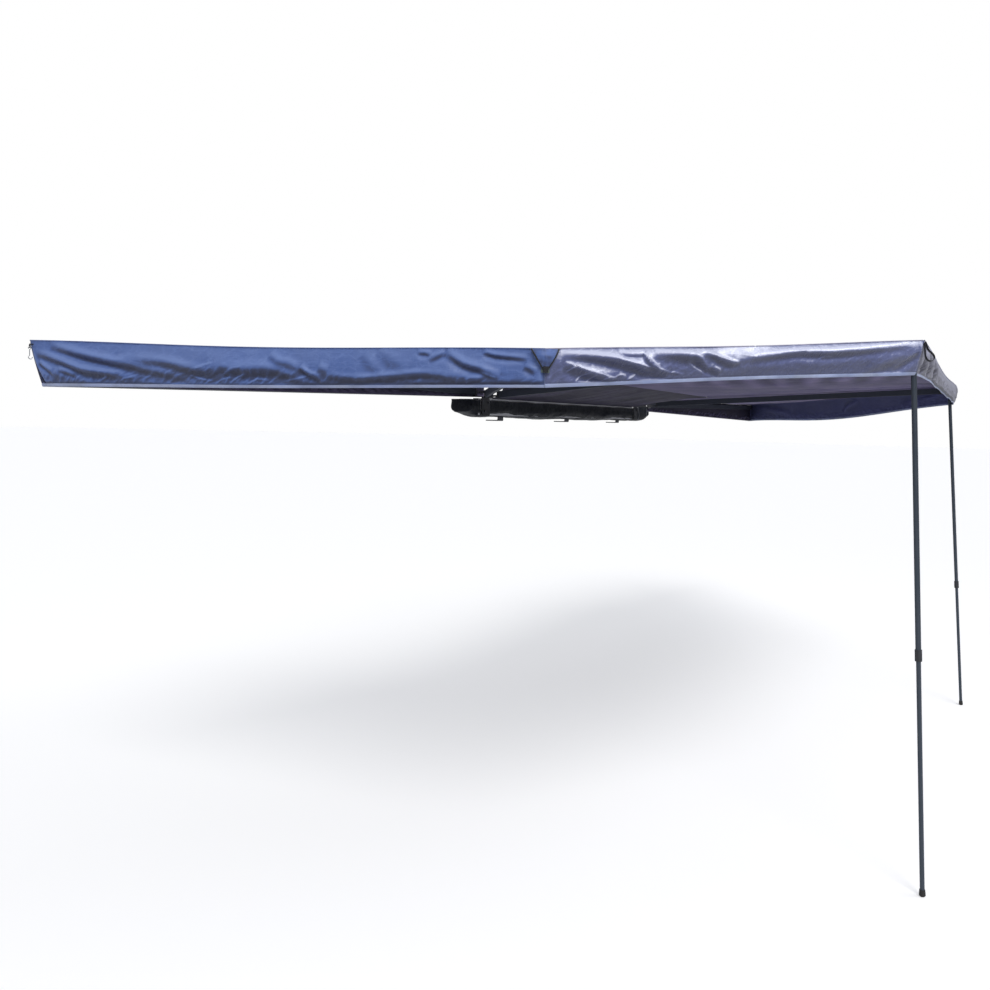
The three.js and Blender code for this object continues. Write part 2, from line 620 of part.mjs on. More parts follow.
function makeWebbingLoop(arm) {
  const outline = webbingOutline(0);
  outline.holes.push(webbingOutline(webbing.thickness));
  const band = alongY(outline, -webbing.width / 2, webbing.width / 2, facets.arc);
  const hole = rodAlongX(eye.stem + clearance, -overrun, 2 * webbing.thickness + overrun, facets.small);
  const loop = cut(band, hole).translate(loopStart(arm), 0, eye.height);
  return node('corner_loop', onSlope(loop, arm), 'webbing');
}

// Poles

function polePivot(arm) {
  const along = armLength(arm) - pole.pivotInset;
  const slope = armSlope(arm);
  return new THREE.Vector3(
    along * Math.cos(slope) + pole.pivotDrop * Math.sin(slope),
    arm.offset,
    arm.root + along * Math.sin(slope) - pole.pivotDrop * Math.cos(slope),
  );
}

const poleLength = ({ arm, lean }) => (polePivot(arms[arm]).z + groundDrop) / Math.cos(lean * degree);

// Depth of the joint between the two tubes, measured down the pole from its pivot
const jointDepth = (item) => poleLength(item) - item.jointHeight;

// The flat tongue that the pole hangs on, with the stopper that closes the upper tube
function poleTop() {
  const outline = new THREE.Shape();
  outline.moveTo(-pole.tongue, -pole.shoulderDrop - clearance).lineTo(-pole.tongue, 0);
  outline.absarc(0, 0, pole.tongue, Math.PI, 0, true);
  outline.lineTo(pole.tongue, -pole.shoulderDrop - clearance);
  const half = pole.tongueThickness / 2;
  const tongue = alongY(outline, -half, half, facets.arc);
  const stopper = rod(pole.upperRadius, -pole.tubeDrop, -pole.shoulderDrop);
  const bore = rodAlongY(pole.pinRadius + clearance, -half - overrun, half + overrun, facets.small);
  return cut(joined(tongue, stopper), bore);
}

function collarGeometry(joint) {
  const lobed = new THREE.Shape();
  const steps = 4 * pole.collarLobes;
  for (let i = 0; i < steps; i += 1) {
    const angle = (2 * Math.PI * i) / steps;
    const radius = pole.collarRadius + pole.collarLobe * Math.cos(pole.collarLobes * angle);
    const [x, y] = [radius * Math.cos(angle), radius * Math.sin(angle)];
    if (i === 0) lobed.moveTo(x, y);
    else lobed.lineTo(x, y);
  }
  const body = slab(lobed, -joint - pole.collarBelow, -joint + pole.collarAbove);
  const upperBore = rod(pole.upperRadius + clearance, -joint - clearance, -joint + pole.collarAbove + overrun);
  const lowerBore = rod(pole.lowerRadius + clearance, -joint - pole.collarBelow - overrun, -joint);
  return cut(body, upperBore, lowerBore);
}

function footGeometry(length) {
  const outer = [
    [0, -length], [pole.footRadius - pole.footEdge, -length], [pole.footRadius, -length + pole.footEdge],
    [pole.footRadius, -length + pole.footSole], [pole.lowerRadius + pole.footLip, -length + pole.footCup],
    [pole.lowerRadius + clearance, -length + pole.footCup],
    [pole.lowerRadius + clearance, -length + pole.footSole], [0, -length + pole.footSole],
  ].map(([r, z]) => new THREE.Vector2(r, z));
  return new THREE.LatheGeometry(outer, facets.round).rotateX(Math.PI / 2);
}

function makePole(name, item) {
  const arm = arms[item.arm];
  const length = poleLength(item);
  const joint = jointDepth(item);
  const upper = joined(poleTop(), pipe(pole.upperRadius, poleBore, -joint, -pole.tubeTop));
  const lowerEnd = -length + pole.footSole + clearance;
  const lower = pipe(pole.lowerRadius, pole.lowerRadius - pole.lowerWall, lowerEnd, -joint + pole.overlap);
  const group = grouped(
    node(`pole_upper_${name}`, upper, 'pole'),
    node(`pole_lower_${name}`, lower, 'pole'),
    node(`pole_collar_${name}`, collarGeometry(joint), 'plastic'),
    node(`pole_foot_${name}`, footGeometry(length), 'rubber'),
  );
  group.position.copy(polePivot(arm));
  group.rotation.y = -item.lean * degree;
  return group;
}

// Cloth: every piece is a grid of points with a thickness, closed round its edges

// Turns a closed form right side out
function facing(geometry) {
  const p = geometry.getAttribute('position');
  const [a, b, c] = [new THREE.Vector3(), new THREE.Vector3(), new THREE.Vector3()];
  let volume = 0;
  for (let i = 0; i < p.count; i += 3) {
    b.fromBufferAttribute(p, i + 1).cross(c.fromBufferAttribute(p, i + 2));
    volume += a.fromBufferAttribute(p, i).dot(b);
  }
  for (let i = 0; volume < 0 && i < p.count; i += 3) {
    b.fromBufferAttribute(p, i + 1);
    c.fromBufferAttribute(p, i + 2);
    p.setXYZ(i + 1, c.x, c.y, c.z);
    p.setXYZ(i + 2, b.x, b.y, b.z);
  }
  geometry.computeVertexNormals();
  return geometry;
}

function sheet(columns, rows, pointAt, thicknessAt) {
  const count = (columns + 1) * (rows + 1);
  const positions = [];
  for (const layer of [0, 1]) {
    for (let row = 0; row <= rows; row += 1) {
      for (let column = 0; column <= columns; column += 1) {
        const [u, v] = [column / columns, row / rows];
        const point = pointAt(u, v).addScaledVector(thicknessAt(u, v), layer);
        positions.push(point.x, point.y, point.z);
      }
    }
  }
  const at = (column, row, layer) => layer * count + row * (columns + 1) + column;
  const triangles = [];
  const quad = (a, b, c, d) => triangles.push(a, b, c, a, c, d);
  for (let row = 0; row < rows; row += 1) {
    for (let column = 0; column < columns; column += 1) {
      const corner = (layer) => [at(column, row, layer), at(column + 1, row, layer),
        at(column + 1, row + 1, layer), at(column, row + 1, layer)];
      quad(...corner(1));
      const [a, b, c, d] = corner(0);
      quad(a, d, c, b);
    }
  }
  for (let column = 0; column < columns; column += 1) {
    quad(at(column, 0, 0), at(column + 1, 0, 0), at(column + 1, 0, 1), at(column, 0, 1));
    quad(at(column + 1, rows, 0), at(column, rows, 0), at(column, rows, 1), at(column + 1, rows, 1));
  }
  for (let row = 0; row < rows; row += 1) {
    quad(at(0, row + 1, 0), at(0, row, 0), at(0, row, 1), at(0, row + 1, 1));
    quad(at(columns, row, 0), at(columns, row + 1, 0), at(columns, row + 1, 1), at(columns, row, 1));
  }
  const geometry = new THREE.BufferGeometry();
  geometry.setAttribute('position', new THREE.Float32BufferAttribute(positions, 3));
  geometry.setIndex(triangles);
  return facing(geometry.toNonIndexed());
}

// A point given in an arm's own frame, in the awning's frame
function onArm(arm, along, across, height) {
  const heading = -arm.bearing * degree;
  return new THREE.Vector3(
    arm.hub.x + along * Math.cos(heading) - across * Math.sin(heading),
    -arm.hub.reach + along * Math.sin(heading) + across * Math.cos(heading),
    height,
  );
}

function inPlace(geometry, arm) {
  return geometry.rotateZ(-arm.bearing * degree).translate(arm.hub.x, -arm.hub.reach, 0);
}

function cornerPoint(name, across = arms[name].offset) {
  const arm = arms[name];
  const height = arm.root + arm.climb + tipTop / Math.cos(armSlope(arm)) + cloth.lift;
  return onArm(arm, arm.reach + corners[name].standoff, across, height);
}

// The line over an arm that a roof panel is sewn along, from the hub out to the corner
function seamOver(name) {
  const arm = arms[name];
  const apex = onArm(arm, 0, 0, apexHeight);
  const corner = cornerPoint(name);
  return [apex.clone().lerp(corner, cloth.apexReach / arm.reach), corner];
}

// The free edge of the roof beside an end arm, on the side away from the rest of the roof
function freeEdge(name, side) {
  const arm = arms[name];
  const across = arm.offset + side * cloth.freeEdge;
  return [onArm(arm, cloth.freeEdgeStart, across, apexHeight), cornerPoint(name, across)];
}

// The part of a seam line that lies outboard of the inner line
function seamBeyond(name, inset) {
  const [start, corner] = seamOver(name);
  const share = (start.y + inset) / (start.y - corner.y);
  return [start.clone().lerp(corner, share), corner];
}

const dip = (share) => Math.sin(Math.PI * share) ** 2;
const rise = new THREE.Vector3(0, 0, cloth.thickness);

// A roof panel between two lines, sagging between them and a little along its outer edge
function roofPoint([a0, a1], [b0, b1], across, out) {
  const start = a0.clone().lerp(a1, out);
  const end = b0.clone().lerp(b1, out);
  const gap = cloth.seamGap / 2 / start.distanceTo(end);
  const point = start.lerp(end, gap + across * (1 - 2 * gap));
  const sag = cloth.edgeSag * out * out + cloth.roofSag * Math.sin(Math.PI * out);
  point.z -= sag * dip(across);
  return point;
}

function makeRoof(name, lineA, lineB) {
  const geometry = sheet(facets.roofAcross, facets.roofOut,
    (u, v) => roofPoint(lineA, lineB, u, v), () => rise);
  return node(name, geometry, 'cloth');
}

// The dark strip that joins the side panel to the rail
function makeInnerPanel(sideLines) {
  const edge = -rail.depth / 2 + rail.beadInset;
  const low = railTop + clearance;
  const inset = new THREE.Vector3(cloth.stripInset, 0, 0);
  const railLine = [
    new THREE.Vector3(frontHub.x + cloth.stripStart, edge, low),
    new THREE.Vector3(rearHub.x - cloth.stripStart, edge, low),
  ];
  const outerAt = (u) => {
    const point = roofPoint(sideLines[0], sideLines[1], u, 0);
    point.x += inset.x * (1 - 2 * u);
    point.y += cloth.seamGap + clearance;
    return point;
  };
  const geometry = sheet(facets.roofAcross, facets.roofOut / 3 * 2, (u, v) => {
    const point = railLine[0].clone().lerp(railLine[1], u).lerp(outerAt(u), v);
    point.z -= cloth.stripSag * Math.sin(Math.PI * v) * dip(u);
    return point;
  }, () => rise);
  return node('canopy_inner', geometry, 'innerCloth');
}

// Long slanting folds and smaller crinkles in a hanging valance, growing towards its hem
function foldDepth(along, down, folds, phase) {
  const calm = THREE.MathUtils.smoothstep(Math.min(along, 1 - along), 0, cloth.calmShare);
  const slant = Math.sin(2 * Math.PI * (folds * along + 0.6 * down) + phase);
  const crinkle = Math.sin(2 * Math.PI * (2.7 * folds * along - 0.9 * down) + 2 * phase);
  return calm * down * (cloth.foldDepth * (1 + slant) / 2 + cloth.crinkleDepth * (1 + crinkle) / 2);
}

function valanceGeometry(topAt, dropAt, outward, folds, phase) {
  return sheet(facets.valanceAlong, facets.valanceDown, (u, v) => {
    const point = topAt(u);
    point.z -= clearance + v * dropAt(u);
    return point.addScaledVector(outward, foldDepth(u, v, folds, phase));
  }, () => outward.clone().multiplyScalar(-cloth.thickness));
}

// A level direction square to a line, pointing away from the hubs
function outwardOf(a, b) {
  const middle = new THREE.Vector3((frontHub.x + rearHub.x) / 2, 0, 0);
  const outward = new THREE.Vector3(b.y - a.y, a.x - b.x, 0).normalize();
  return outward.dot(a.clone().sub(middle)) < 0 ? outward.negate() : outward;
}

function makeValance(name, lineA, lineB, drops, folds, phase, holes = []) {
  const inset = cloth.endInset / lineA[1].distanceTo(lineB[1]);
  const topAt = (u) => roofPoint(lineA, lineB, THREE.MathUtils.lerp(inset, 1 - inset, u), 1);
  const dropAt = (u) => THREE.MathUtils.lerp(drops[0], drops[1], u);
  const outward = outwardOf(lineA[1], lineB[1]);
  const geometry = valanceGeometry(topAt, dropAt, outward, folds, phase);
  return node(name, holes.length ? cut(geometry, ...holes) : geometry, 'cloth');
}

function makeEndValance(name, line, drops, outward, folds, phase) {
  const inset = cloth.endInset / line[0].distanceTo(line[1]);
  const topAt = (u) => line[0].clone().lerp(line[1], u * (1 - inset));
  const dropAt = (u) => THREE.MathUtils.lerp(drops[0], drops[1], u);
  return node(name, valanceGeometry(topAt, dropAt, outward, folds, phase), 'cloth');
}

// The flap that folds down over the valance at the front corner, and its buckle

function flapFrame() {
  const arm = arms.front_corner;
  const along = arm.reach + corners.front_corner.standoff + flap.standoff;
  const top = cornerPoint('front_corner').z;
  return { arm, along, top };
}

function makeCornerFlap() {
  const { arm, along, top } = flapFrame();
  const fallTowards = (name) => {
    const step = cornerPoint(name).sub(cornerPoint('front_corner'));
    const ahead = onArm(arm, 1, 0, 0).sub(onArm(arm, 0, 0, 0));
    const aside = onArm(arm, 0, 1, 0).sub(onArm(arm, 0, 0, 0));
    return Math.abs(step.dot(ahead) / step.dot(aside));
  };
  const [fallBefore, fallAfter] = [fallTowards('front'), fallTowards('side_front')];
  const bend = (across) => (across < 0 ? -across * fallBefore : across * fallAfter);
  const geometry = sheet(facets.small, 4, (u, v) => {
    const half = THREE.MathUtils.lerp(flap.topWidth, flap.bottomWidth, v) / 2;
    const across = (2 * u - 1) * half;
    return onArm(arm, along - bend(across), arm.offset + across, top - v * flap.drop);
  }, () => onArm(arm, flap.thickness, 0, 0).sub(onArm(arm, 0, 0, 0)));
  return node('corner_flap', geometry, 'cloth');
}

function makeBuckle() {
  const { arm, along, top } = flapFrame();
  const half = { w: buckle.width / 2, h: buckle.height / 2 };
  const shape = roundedRectangle(-half.w, half.w, -half.h, half.h, buckle.slotHeight);
  for (const side of [-1, 1]) {
    const centre = (side * buckle.slotSpacing) / 2;
    shape.holes.push(roundedRectangle(-buckle.slotWidth / 2, buckle.slotWidth / 2,
      centre - buckle.slotHeight / 2, centre + buckle.slotHeight / 2, buckle.slotHeight / 3));
  }
  const from = along + flap.thickness - buckle.thickness / 2;
  const body = alongX(shape, from, from + buckle.thickness)
    .translate(0, arm.offset, top - flap.drop - buckle.gap - half.h);
  return node('flap_buckle', inPlace(body, arm), 'buckle');
}

// Assembly

function makeBase() {
  const names = ['front', 'middle', 'rear'];
  return grouped(
    makeRail(),
    makeRailCap('rail_cap_front', -1),
    makeRailCap('rail_cap_rear', 1),
    ...bracketPlaces.map((x, i) => makeBracket(`rack_bracket_${names[i]}`, x)),
    ...bracketPlaces.map((x, i) => makeBracketBolt(`bracket_bolt_${names[i]}`, x)),
    ...makeBagPanels(),
    makeHubBracket('hub_bracket_front', frontHub),
    makeHubBracket('hub_bracket_rear', rearHub),
    makeHubPin('hub_pin_front', frontHub),
    makeHubPin('hub_pin_rear', rearHub),
    makeHubSpacer(),
  );
}

function makeArm(name) {
  const arm = arms[name];
  const poleName = Object.keys(poles).find((key) => poles[key].arm === name);
  const extra = { front: eyeOnTip, side_front: studOnTip }[name]?.(arm) ?? [];
  const pieces = [
    makeArmRoot(`arm_root_${name}`, arm),
    makeArmTube(`arm_tube_${name}`, arm, poleName ? tip.endWall : tip.nose),
  ];
  if (poleName) {
    pieces.push(makeSleeveTip(`arm_tip_${name}`, arm, extra), makePolePin(`pole_pin_${poleName}`, arm));
    pieces.push(makePole(poleName, poles[poleName]));
  } else {
    pieces.push(makePlainTip(`arm_tip_${name}`, arm, extra));
  }
  if (name === 'front') pieces.push(makeHook(arm));
  if (name === 'side_front') pieces.push(makeWebbingLoop(arm));
  const group = grouped(...pieces);
  group.position.set(arm.hub.x, -arm.hub.reach, 0);
  group.rotation.z = -arm.bearing * degree;
  return group;
}

function makeCanopy() {
  const frontEdge = freeEdge('front', -1);
  const rearEdge = freeEdge('rear', 1);
  const [corner, sideFront, sideRear] = ['front_corner', 'side_front', 'side_rear'].map(seamOver);
  const side = [seamBeyond('side_front', cloth.innerLine), seamBeyond('side_rear', cloth.innerLine)];
  const drop = (...names) => names.map((name) => corners[name].drop);
  const across = (name, side0) => onArm(arms[name], 0, side0, 0).sub(onArm(arms[name], 0, 0, 0)).normalize();
  return grouped(
    makeRoof('canopy_front', corner, frontEdge),
    makeRoof('canopy_front_side', sideFront, corner),
    makeRoof('canopy_side', side[1], side[0]),
    makeRoof('canopy_rear', rearEdge, sideRear),
    makeInnerPanel(side),
    makeValance('valance_front', frontEdge, corner, drop('front', 'front_corner'), 5, 0.4,
      [stemHole(arms.front)]),
    makeValance('valance_front_side', corner, sideFront, drop('front_corner', 'side_front'), 4, 1.3,
      [stemHole(arms.side_front)]),
    makeValance('valance_side', sideFront, sideRear, drop('side_front', 'side_rear'), 6, 2.1,
      [stemHole(arms.side_front)]),
    makeValance('valance_rear', sideRear, rearEdge, drop('side_rear', 'rear'), 6, 0.9),
    makeEndValance('valance_front_end', frontEdge, [endDrops.front, corners.front.drop],
      across('front', -1), 5, 1.1),
    makeEndValance('valance_rear_end', rearEdge, [endDrops.rear, corners.rear.drop],
      across('rear', 1), 5, 0.2),
    makeCornerFlap(),
    makeBuckle(),
  );
}

const awning = grouped(makeBase(), ...Object.keys(arms).map(makeArm), makeCanopy());
awning.position.y = -footCentre;

export default grouped(awning);
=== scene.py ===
"""Looks of the vehicle side awning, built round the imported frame. Metres, the frame's own axes:
X along the rail towards the rear, Y towards the vehicle, Z up."""
import math

import bpy
import numpy as np
from mathutils import Matrix, Vector


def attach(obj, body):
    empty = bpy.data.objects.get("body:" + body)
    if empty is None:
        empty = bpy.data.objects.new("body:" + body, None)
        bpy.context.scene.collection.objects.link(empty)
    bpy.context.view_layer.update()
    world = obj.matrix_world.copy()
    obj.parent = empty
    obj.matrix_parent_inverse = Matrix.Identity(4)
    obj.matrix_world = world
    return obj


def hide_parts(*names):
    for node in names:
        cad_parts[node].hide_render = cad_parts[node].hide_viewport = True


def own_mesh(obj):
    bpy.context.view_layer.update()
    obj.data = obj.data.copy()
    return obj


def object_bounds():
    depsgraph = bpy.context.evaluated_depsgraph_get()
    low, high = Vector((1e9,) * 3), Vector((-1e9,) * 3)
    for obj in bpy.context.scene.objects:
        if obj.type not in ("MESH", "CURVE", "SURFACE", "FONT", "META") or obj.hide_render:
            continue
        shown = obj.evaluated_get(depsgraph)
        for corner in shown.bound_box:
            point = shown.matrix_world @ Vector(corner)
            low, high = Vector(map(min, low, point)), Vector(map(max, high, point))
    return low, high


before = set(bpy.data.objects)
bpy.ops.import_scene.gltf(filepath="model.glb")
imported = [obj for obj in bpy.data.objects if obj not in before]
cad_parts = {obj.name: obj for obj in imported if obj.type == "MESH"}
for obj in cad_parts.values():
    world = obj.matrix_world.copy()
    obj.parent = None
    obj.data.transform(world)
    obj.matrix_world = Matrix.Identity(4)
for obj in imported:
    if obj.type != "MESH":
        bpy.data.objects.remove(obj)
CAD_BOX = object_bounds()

# Camera

EYE = (-5.52, -2.568, 0.010)
VIEW_WAY, VIEW_TOP = (0.8706, 0.4846, -0.0849), (0.0645, 0.0587, 0.9962)
SENSOR, LENS = 36, 32.36  # millimetres
IMAGE_SIZE = 990  # the photograph's width and height in pixels
FOCAL_PIXELS = LENS / SENSOR * IMAGE_SIZE

camera = bpy.data.objects.new("camera", bpy.data.cameras.new("camera"))
bpy.context.scene.collection.objects.link(camera)
camera.data.sensor_width = SENSOR
camera.data.lens = LENS
camera.data.clip_end = 100
forward = Vector(VIEW_WAY).normalized()
right = forward.cross(Vector(VIEW_TOP)).normalized()
up = right.cross(forward)
camera.matrix_world = Matrix(((right.x, up.x, -forward.x, EYE[0]), (right.y, up.y, -forward.y, EYE[1]),
                              (right.z, up.z, -forward.z, EYE[2]), (0, 0, 0, 1)))
bpy.context.scene.camera = camera

# The awning's own dimensions

PIN_FRONT, PIN_REAR = (-1.18, -0.1083), (1.21, -0.1933)
APEX = 0.18625
SEAM_GAP, APEX_REACH, FREE_EDGE, FREE_START = 0.0004, 0.030, 0.014, 0.062
RAIL_LINE, INNER_LINE = -0.0583, 0.600
ROOF_SAG, STRIP_SAG = 0.030, 0.012
CLOTH = 0.0011
HEM, END_HEM = 0.0115, 0.006
TIP_TOP, LIFT = 0.0215, 0.0016
# out: how far the cloth's corner stands past the arm. drop: depth of the valance there.
# lean: how far the hem of that corner is drawn in towards the hub.
ARMS = {
    "front": dict(pin=PIN_FRONT, bearing=200.1, reach=2.303, offset=-0.056, root=0.156, climb=0.102,
                  out=0.012, drop=0.178, lean=0.042),
    "front_corner": dict(pin=PIN_FRONT, bearing=145.3, reach=2.196, offset=-0.028, root=0.145, climb=0.062,
                         out=0.005, drop=0.119, lean=0.002),
    "side_front": dict(pin=PIN_FRONT, bearing=101.8, reach=2.243, offset=0.0, root=0.140, climb=0.186,
                       out=0.008, drop=0.134, lean=0.024),
    "side_rear": dict(pin=PIN_REAR, bearing=89.5, reach=2.133, offset=0.0, root=0.150, climb=0.113, out=0.009,
                      drop=0.118, lean=0.014),
    "rear": dict(pin=PIN_REAR, bearing=8.4, reach=2.162, offset=0.028, root=0.145, climb=0.028, out=0.021,
                 drop=0.155, lean=0.010),
}
END_DROPS = {"front": 0.054, "rear": 0.092}
EDGE_SAG = {"front": 0.012, "front_side": 0.007, "side": 0.026, "rear": 0.014}


def v3(*xyz):
    return np.array(xyz, float)


def on_arm(name, along, across, height):
    a = ARMS[name]
    t = -math.radians(a["bearing"])
    return v3(a["pin"][0] + along * math.cos(t) - across * math.sin(t),
              a["pin"][1] + along * math.sin(t) + across * math.cos(t), height)


def arm_way(name):
    """The arm's own direction and the direction to its left, both level."""
    t = -math.radians(ARMS[name]["bearing"])
    return v3(math.cos(t), math.sin(t), 0), v3(-math.sin(t), math.cos(t), 0)


def slope(name):
    return math.atan2(ARMS[name]["climb"], ARMS[name]["reach"])


def arm_centre(name, along, across=0.0, up=0.0):
    """A point along an arm's own sloping centre line, moved across and square to it upwards."""
    a = ARMS[name]
    s = slope(name)
    flat = on_arm(name, along * math.cos(s) - up * math.sin(s), a["offset"] + across, 0)
    flat[2] = a["root"] + along * math.sin(s) + up * math.cos(s)
    return flat


def corner_point(name, across=None):
    a = ARMS[name]
    height = a["root"] + a["climb"] + TIP_TOP / math.cos(slope(name)) + LIFT
    return on_arm(name, a["reach"] + a["out"], a["offset"] if across is None else across, height)


def seam_over(name):
    apex, corner = on_arm(name, 0, 0, APEX), corner_point(name)
    return apex + (corner - apex) * APEX_REACH / ARMS[name]["reach"], corner


def free_edge(name, side):
    across = ARMS[name]["offset"] + side * FREE_EDGE
    return on_arm(name, FREE_START, across, APEX), corner_point(name, across)


def seam_beyond(name):
    start, corner = seam_over(name)
    line = RAIL_LINE - INNER_LINE
    return start + (corner - start) * (start[1] - line) / (start[1] - corner[1]), corner


def smooth(x, a, b):
    t = np.clip((x - a) / (b - a), 0, 1)
    return t * t * (3 - 2 * t)


def mixed(a, b, t):
    return a + (b - a) * t


# Seeded noise

_table = np.random.default_rng(7).permutation(256)
_table = np.concatenate([_table, _table])


def noise(x, y, seed=0):
    """Gradient noise from about -1 to 1."""
    x, y = np.asarray(x, float) + 17.3 * seed, np.asarray(y, float) - 9.1 * seed
    xi, yi = np.floor(x).astype(int), np.floor(y).astype(int)
    xf, yf = x - xi, y - yi
    u, w = xf ** 3 * (xf * (xf * 6 - 15) + 10), yf ** 3 * (yf * (yf * 6 - 15) + 10)

    def corner(dx, dy):
        h = _table[(_table[(xi + dx) & 255] + yi + dy) & 255]
        angle = h * (2 * math.pi / 256)
        return np.cos(angle) * (xf - dx) + np.sin(angle) * (yf - dy)

    return 1.5 * mixed(mixed(corner(0, 0), corner(1, 0), u), mixed(corner(0, 1), corner(1, 1), u), w)


def fbm(x, y, seed=0, octaves=3):
    total, size = 0, 1.0
    for i in range(octaves):
        total = total + size * noise(x * 2 ** i, y * 2 ** i, seed + i)
        size *= 0.5
    return total


def creases(x, y, seed=0, sharp=2.0):
    """Sharp ridges, 0 to 1, as cloth shows where it was folded."""
    return (1 - np.clip(np.abs(noise(x, y, seed)) * 1.6, 0, 1)) ** sharp


# Node helpers


def new_group(name, inputs, outputs):
    group = bpy.data.node_groups.new(name, "ShaderNodeTree")
    for label, kind, value in inputs:
        socket = group.interface.new_socket(label, in_out="INPUT", socket_type=kind)
        socket.default_value = value
    for label, kind in outputs:
        group.interface.new_socket(label, in_out="OUTPUT", socket_type=kind)
    return group


class Tree:
    """Short calls for making nodes in one tree."""

    def __init__(self, tree):
        self.tree = tree

    def node(self, kind, **values):
        made = self.tree.nodes.new("ShaderNode" + kind)
        for key, value in values.items():
            setattr(made, key, value)
        return made

    def link(self, source, target):
        self.tree.links.new(source, target)

    def feed(self, socket, value):
        if isinstance(value, bpy.types.NodeSocket):
            self.link(value, socket)
        else:
            socket.default_value = value

    def math(self, operation, a, b=None, c=None, clamp=False):
        made = self.node("Math", operation=operation, use_clamp=clamp)
        for i, value in enumerate((a, b, c)):
            if value is not None:
                self.feed(made.inputs[i], value)
        return made.outputs[0]

    def noise(self, vector, scale, detail=3.0, rough=0.5, distortion=0.0):
        made = self.node("TexNoise")
        self.link(vector, made.inputs["Vector"])
        values = {"Scale": scale, "Detail": detail, "Roughness": rough, "Distortion": distortion}
        for key, value in values.items():
            self.feed(made.inputs[key], value)
        return made.outputs["Fac"]

    def voronoi(self, vector, scale):
        made = self.node("TexVoronoi")
        self.link(vector, made.inputs["Vector"])
        self.feed(made.inputs["Scale"], scale)
        return made.outputs["Distance"]

    def wave(self, vector, scale, direction="X"):
        made = self.node("TexWave", bands_direction=direction)
        self.link(vector, made.inputs["Vector"])
        self.feed(made.inputs["Scale"], scale)
        return made.outputs["Fac"]

    def stretched(self, vector, scale=(1, 1, 1), turn=(0, 0, 0), move=(0, 0, 0)):
        made = self.node("Mapping")
        self.link(vector, made.inputs["Vector"])
        made.inputs["Scale"].default_value = scale
        made.inputs["Rotation"].default_value = [math.radians(a) for a in turn]
        made.inputs["Location"].default_value = move
        return made.outputs[0]

    def ramp(self, fac, *stops):
        made = self.node("ValToRGB")
        self.link(fac, made.inputs[0])
        marks = made.color_ramp.elements
        while len(marks) < len(stops):
            marks.new(0.5)
        for mark, (place, colour) in zip(marks, stops):
            mark.position = place
            mark.color = colour if isinstance(colour, tuple) else (colour, colour, colour, 1)
        return made.outputs[0]

    def mix(self, fac, a, b):
        made = self.node("Mix", data_type="RGBA")
        self.feed(made.inputs[0], fac)
        self.feed(made.inputs[6], a)
        self.feed(made.inputs[7], b)
        return made.outputs[2]

    def span(self, value, a, b, to0=0.0, to1=1.0):
        made = self.node("MapRange")
        self.link(value, made.inputs[0])
        for i, number in enumerate((a, b, to0, to1)):
            self.feed(made.inputs[i + 1], number)
        return made.outputs[0]

    def ridge(self, value, sharp):
        """1 where a noise crosses its middle, falling off on both sides."""
        away = self.math("ABSOLUTE", self.math("MULTIPLY_ADD", value, 2.0, -1.0))
        return self.math("POWER", self.math("SUBTRACT", 1.0, away, clamp=True), sharp)

    def bump(self, height, strength, distance, normal=None):
        made = self.node("Bump")
        self.feed(made.inputs["Strength"], strength)
        self.feed(made.inputs["Distance"], distance)
        self.link(height, made.inputs["Height"])
        if normal is not None:
            self.link(normal, made.inputs["Normal"])
        return made.outputs[0]


def rgb(r, g, b):
    """A colour written as 0-255 numbers, made linear."""
    def one(c):
        c /= 255
        return c / 12.92 if c <= 0.04045 else ((c + 0.055) / 1.055) ** 2.4
    return (one(r), one(g), one(b), 1.0)


def inside(group):
    tree = Tree(group)
    tree.input = group.nodes.new("NodeGroupInput")
    tree.output = group.nodes.new("NodeGroupOutput")
    return tree


# Effects that several materials share


def make_weave():
    """Fine plain weave with a slightly uneven yarn."""
    group = new_group("weave",
                      [("Vector", "NodeSocketVector", (0, 0, 0)), ("Threads", "NodeSocketFloat", 900.0)],
                      [("Height", "NodeSocketFloat")])
    t = inside(group)
    vector = t.input.outputs["Vector"]
    warp = t.wave(vector, t.input.outputs["Threads"], "X")
    weft = t.wave(vector, t.input.outputs["Threads"], "Y")
    t.link(t.math("MULTIPLY", warp, weft), t.output.inputs[0])
    return group


def make_crinkle():
    """Creases of coated cloth that was packed away. Fold is their height, Line a mask of the sharpest."""
    group = new_group("crinkle",
                      [("Vector", "NodeSocketVector", (0, 0, 0)), ("Scale", "NodeSocketFloat", 6.0)],
                      [("Fold", "NodeSocketFloat"), ("Line", "NodeSocketFloat")])
    t = inside(group)
    vector, scale = t.input.outputs["Vector"], t.input.outputs["Scale"]
    slanted = t.stretched(vector, (0.6, 1.7, 1), (0, 0, 31))
    crossed = t.stretched(vector, (1.5, 0.55, 1), (0, 0, -27), (3, 5, 0))
    broad = t.ridge(t.noise(slanted, scale, 2.0, 0.5, 0.5), 3.0)
    cross = t.ridge(t.noise(crossed, t.math("MULTIPLY", scale, 1.7), 2.0, 0.5, 0.4), 4.0)
    fine = t.ridge(t.noise(slanted, t.math("MULTIPLY", scale, 4.1), 1.0, 0.5, 0.2), 2.0)
    soft = t.noise(vector, scale, 3.0, 0.5)
    both = t.math("MULTIPLY_ADD", broad, 0.55, t.math("MULTIPLY", cross, 0.35))
    t.link(t.math("MULTIPLY_ADD", fine, 0.12, t.math("MULTIPLY_ADD", soft, 0.5, both)), t.output.inputs["Fold"])
    t.link(t.math("MULTIPLY", t.math("POWER", broad, 4.0), soft), t.output.inputs["Line"])
    return group


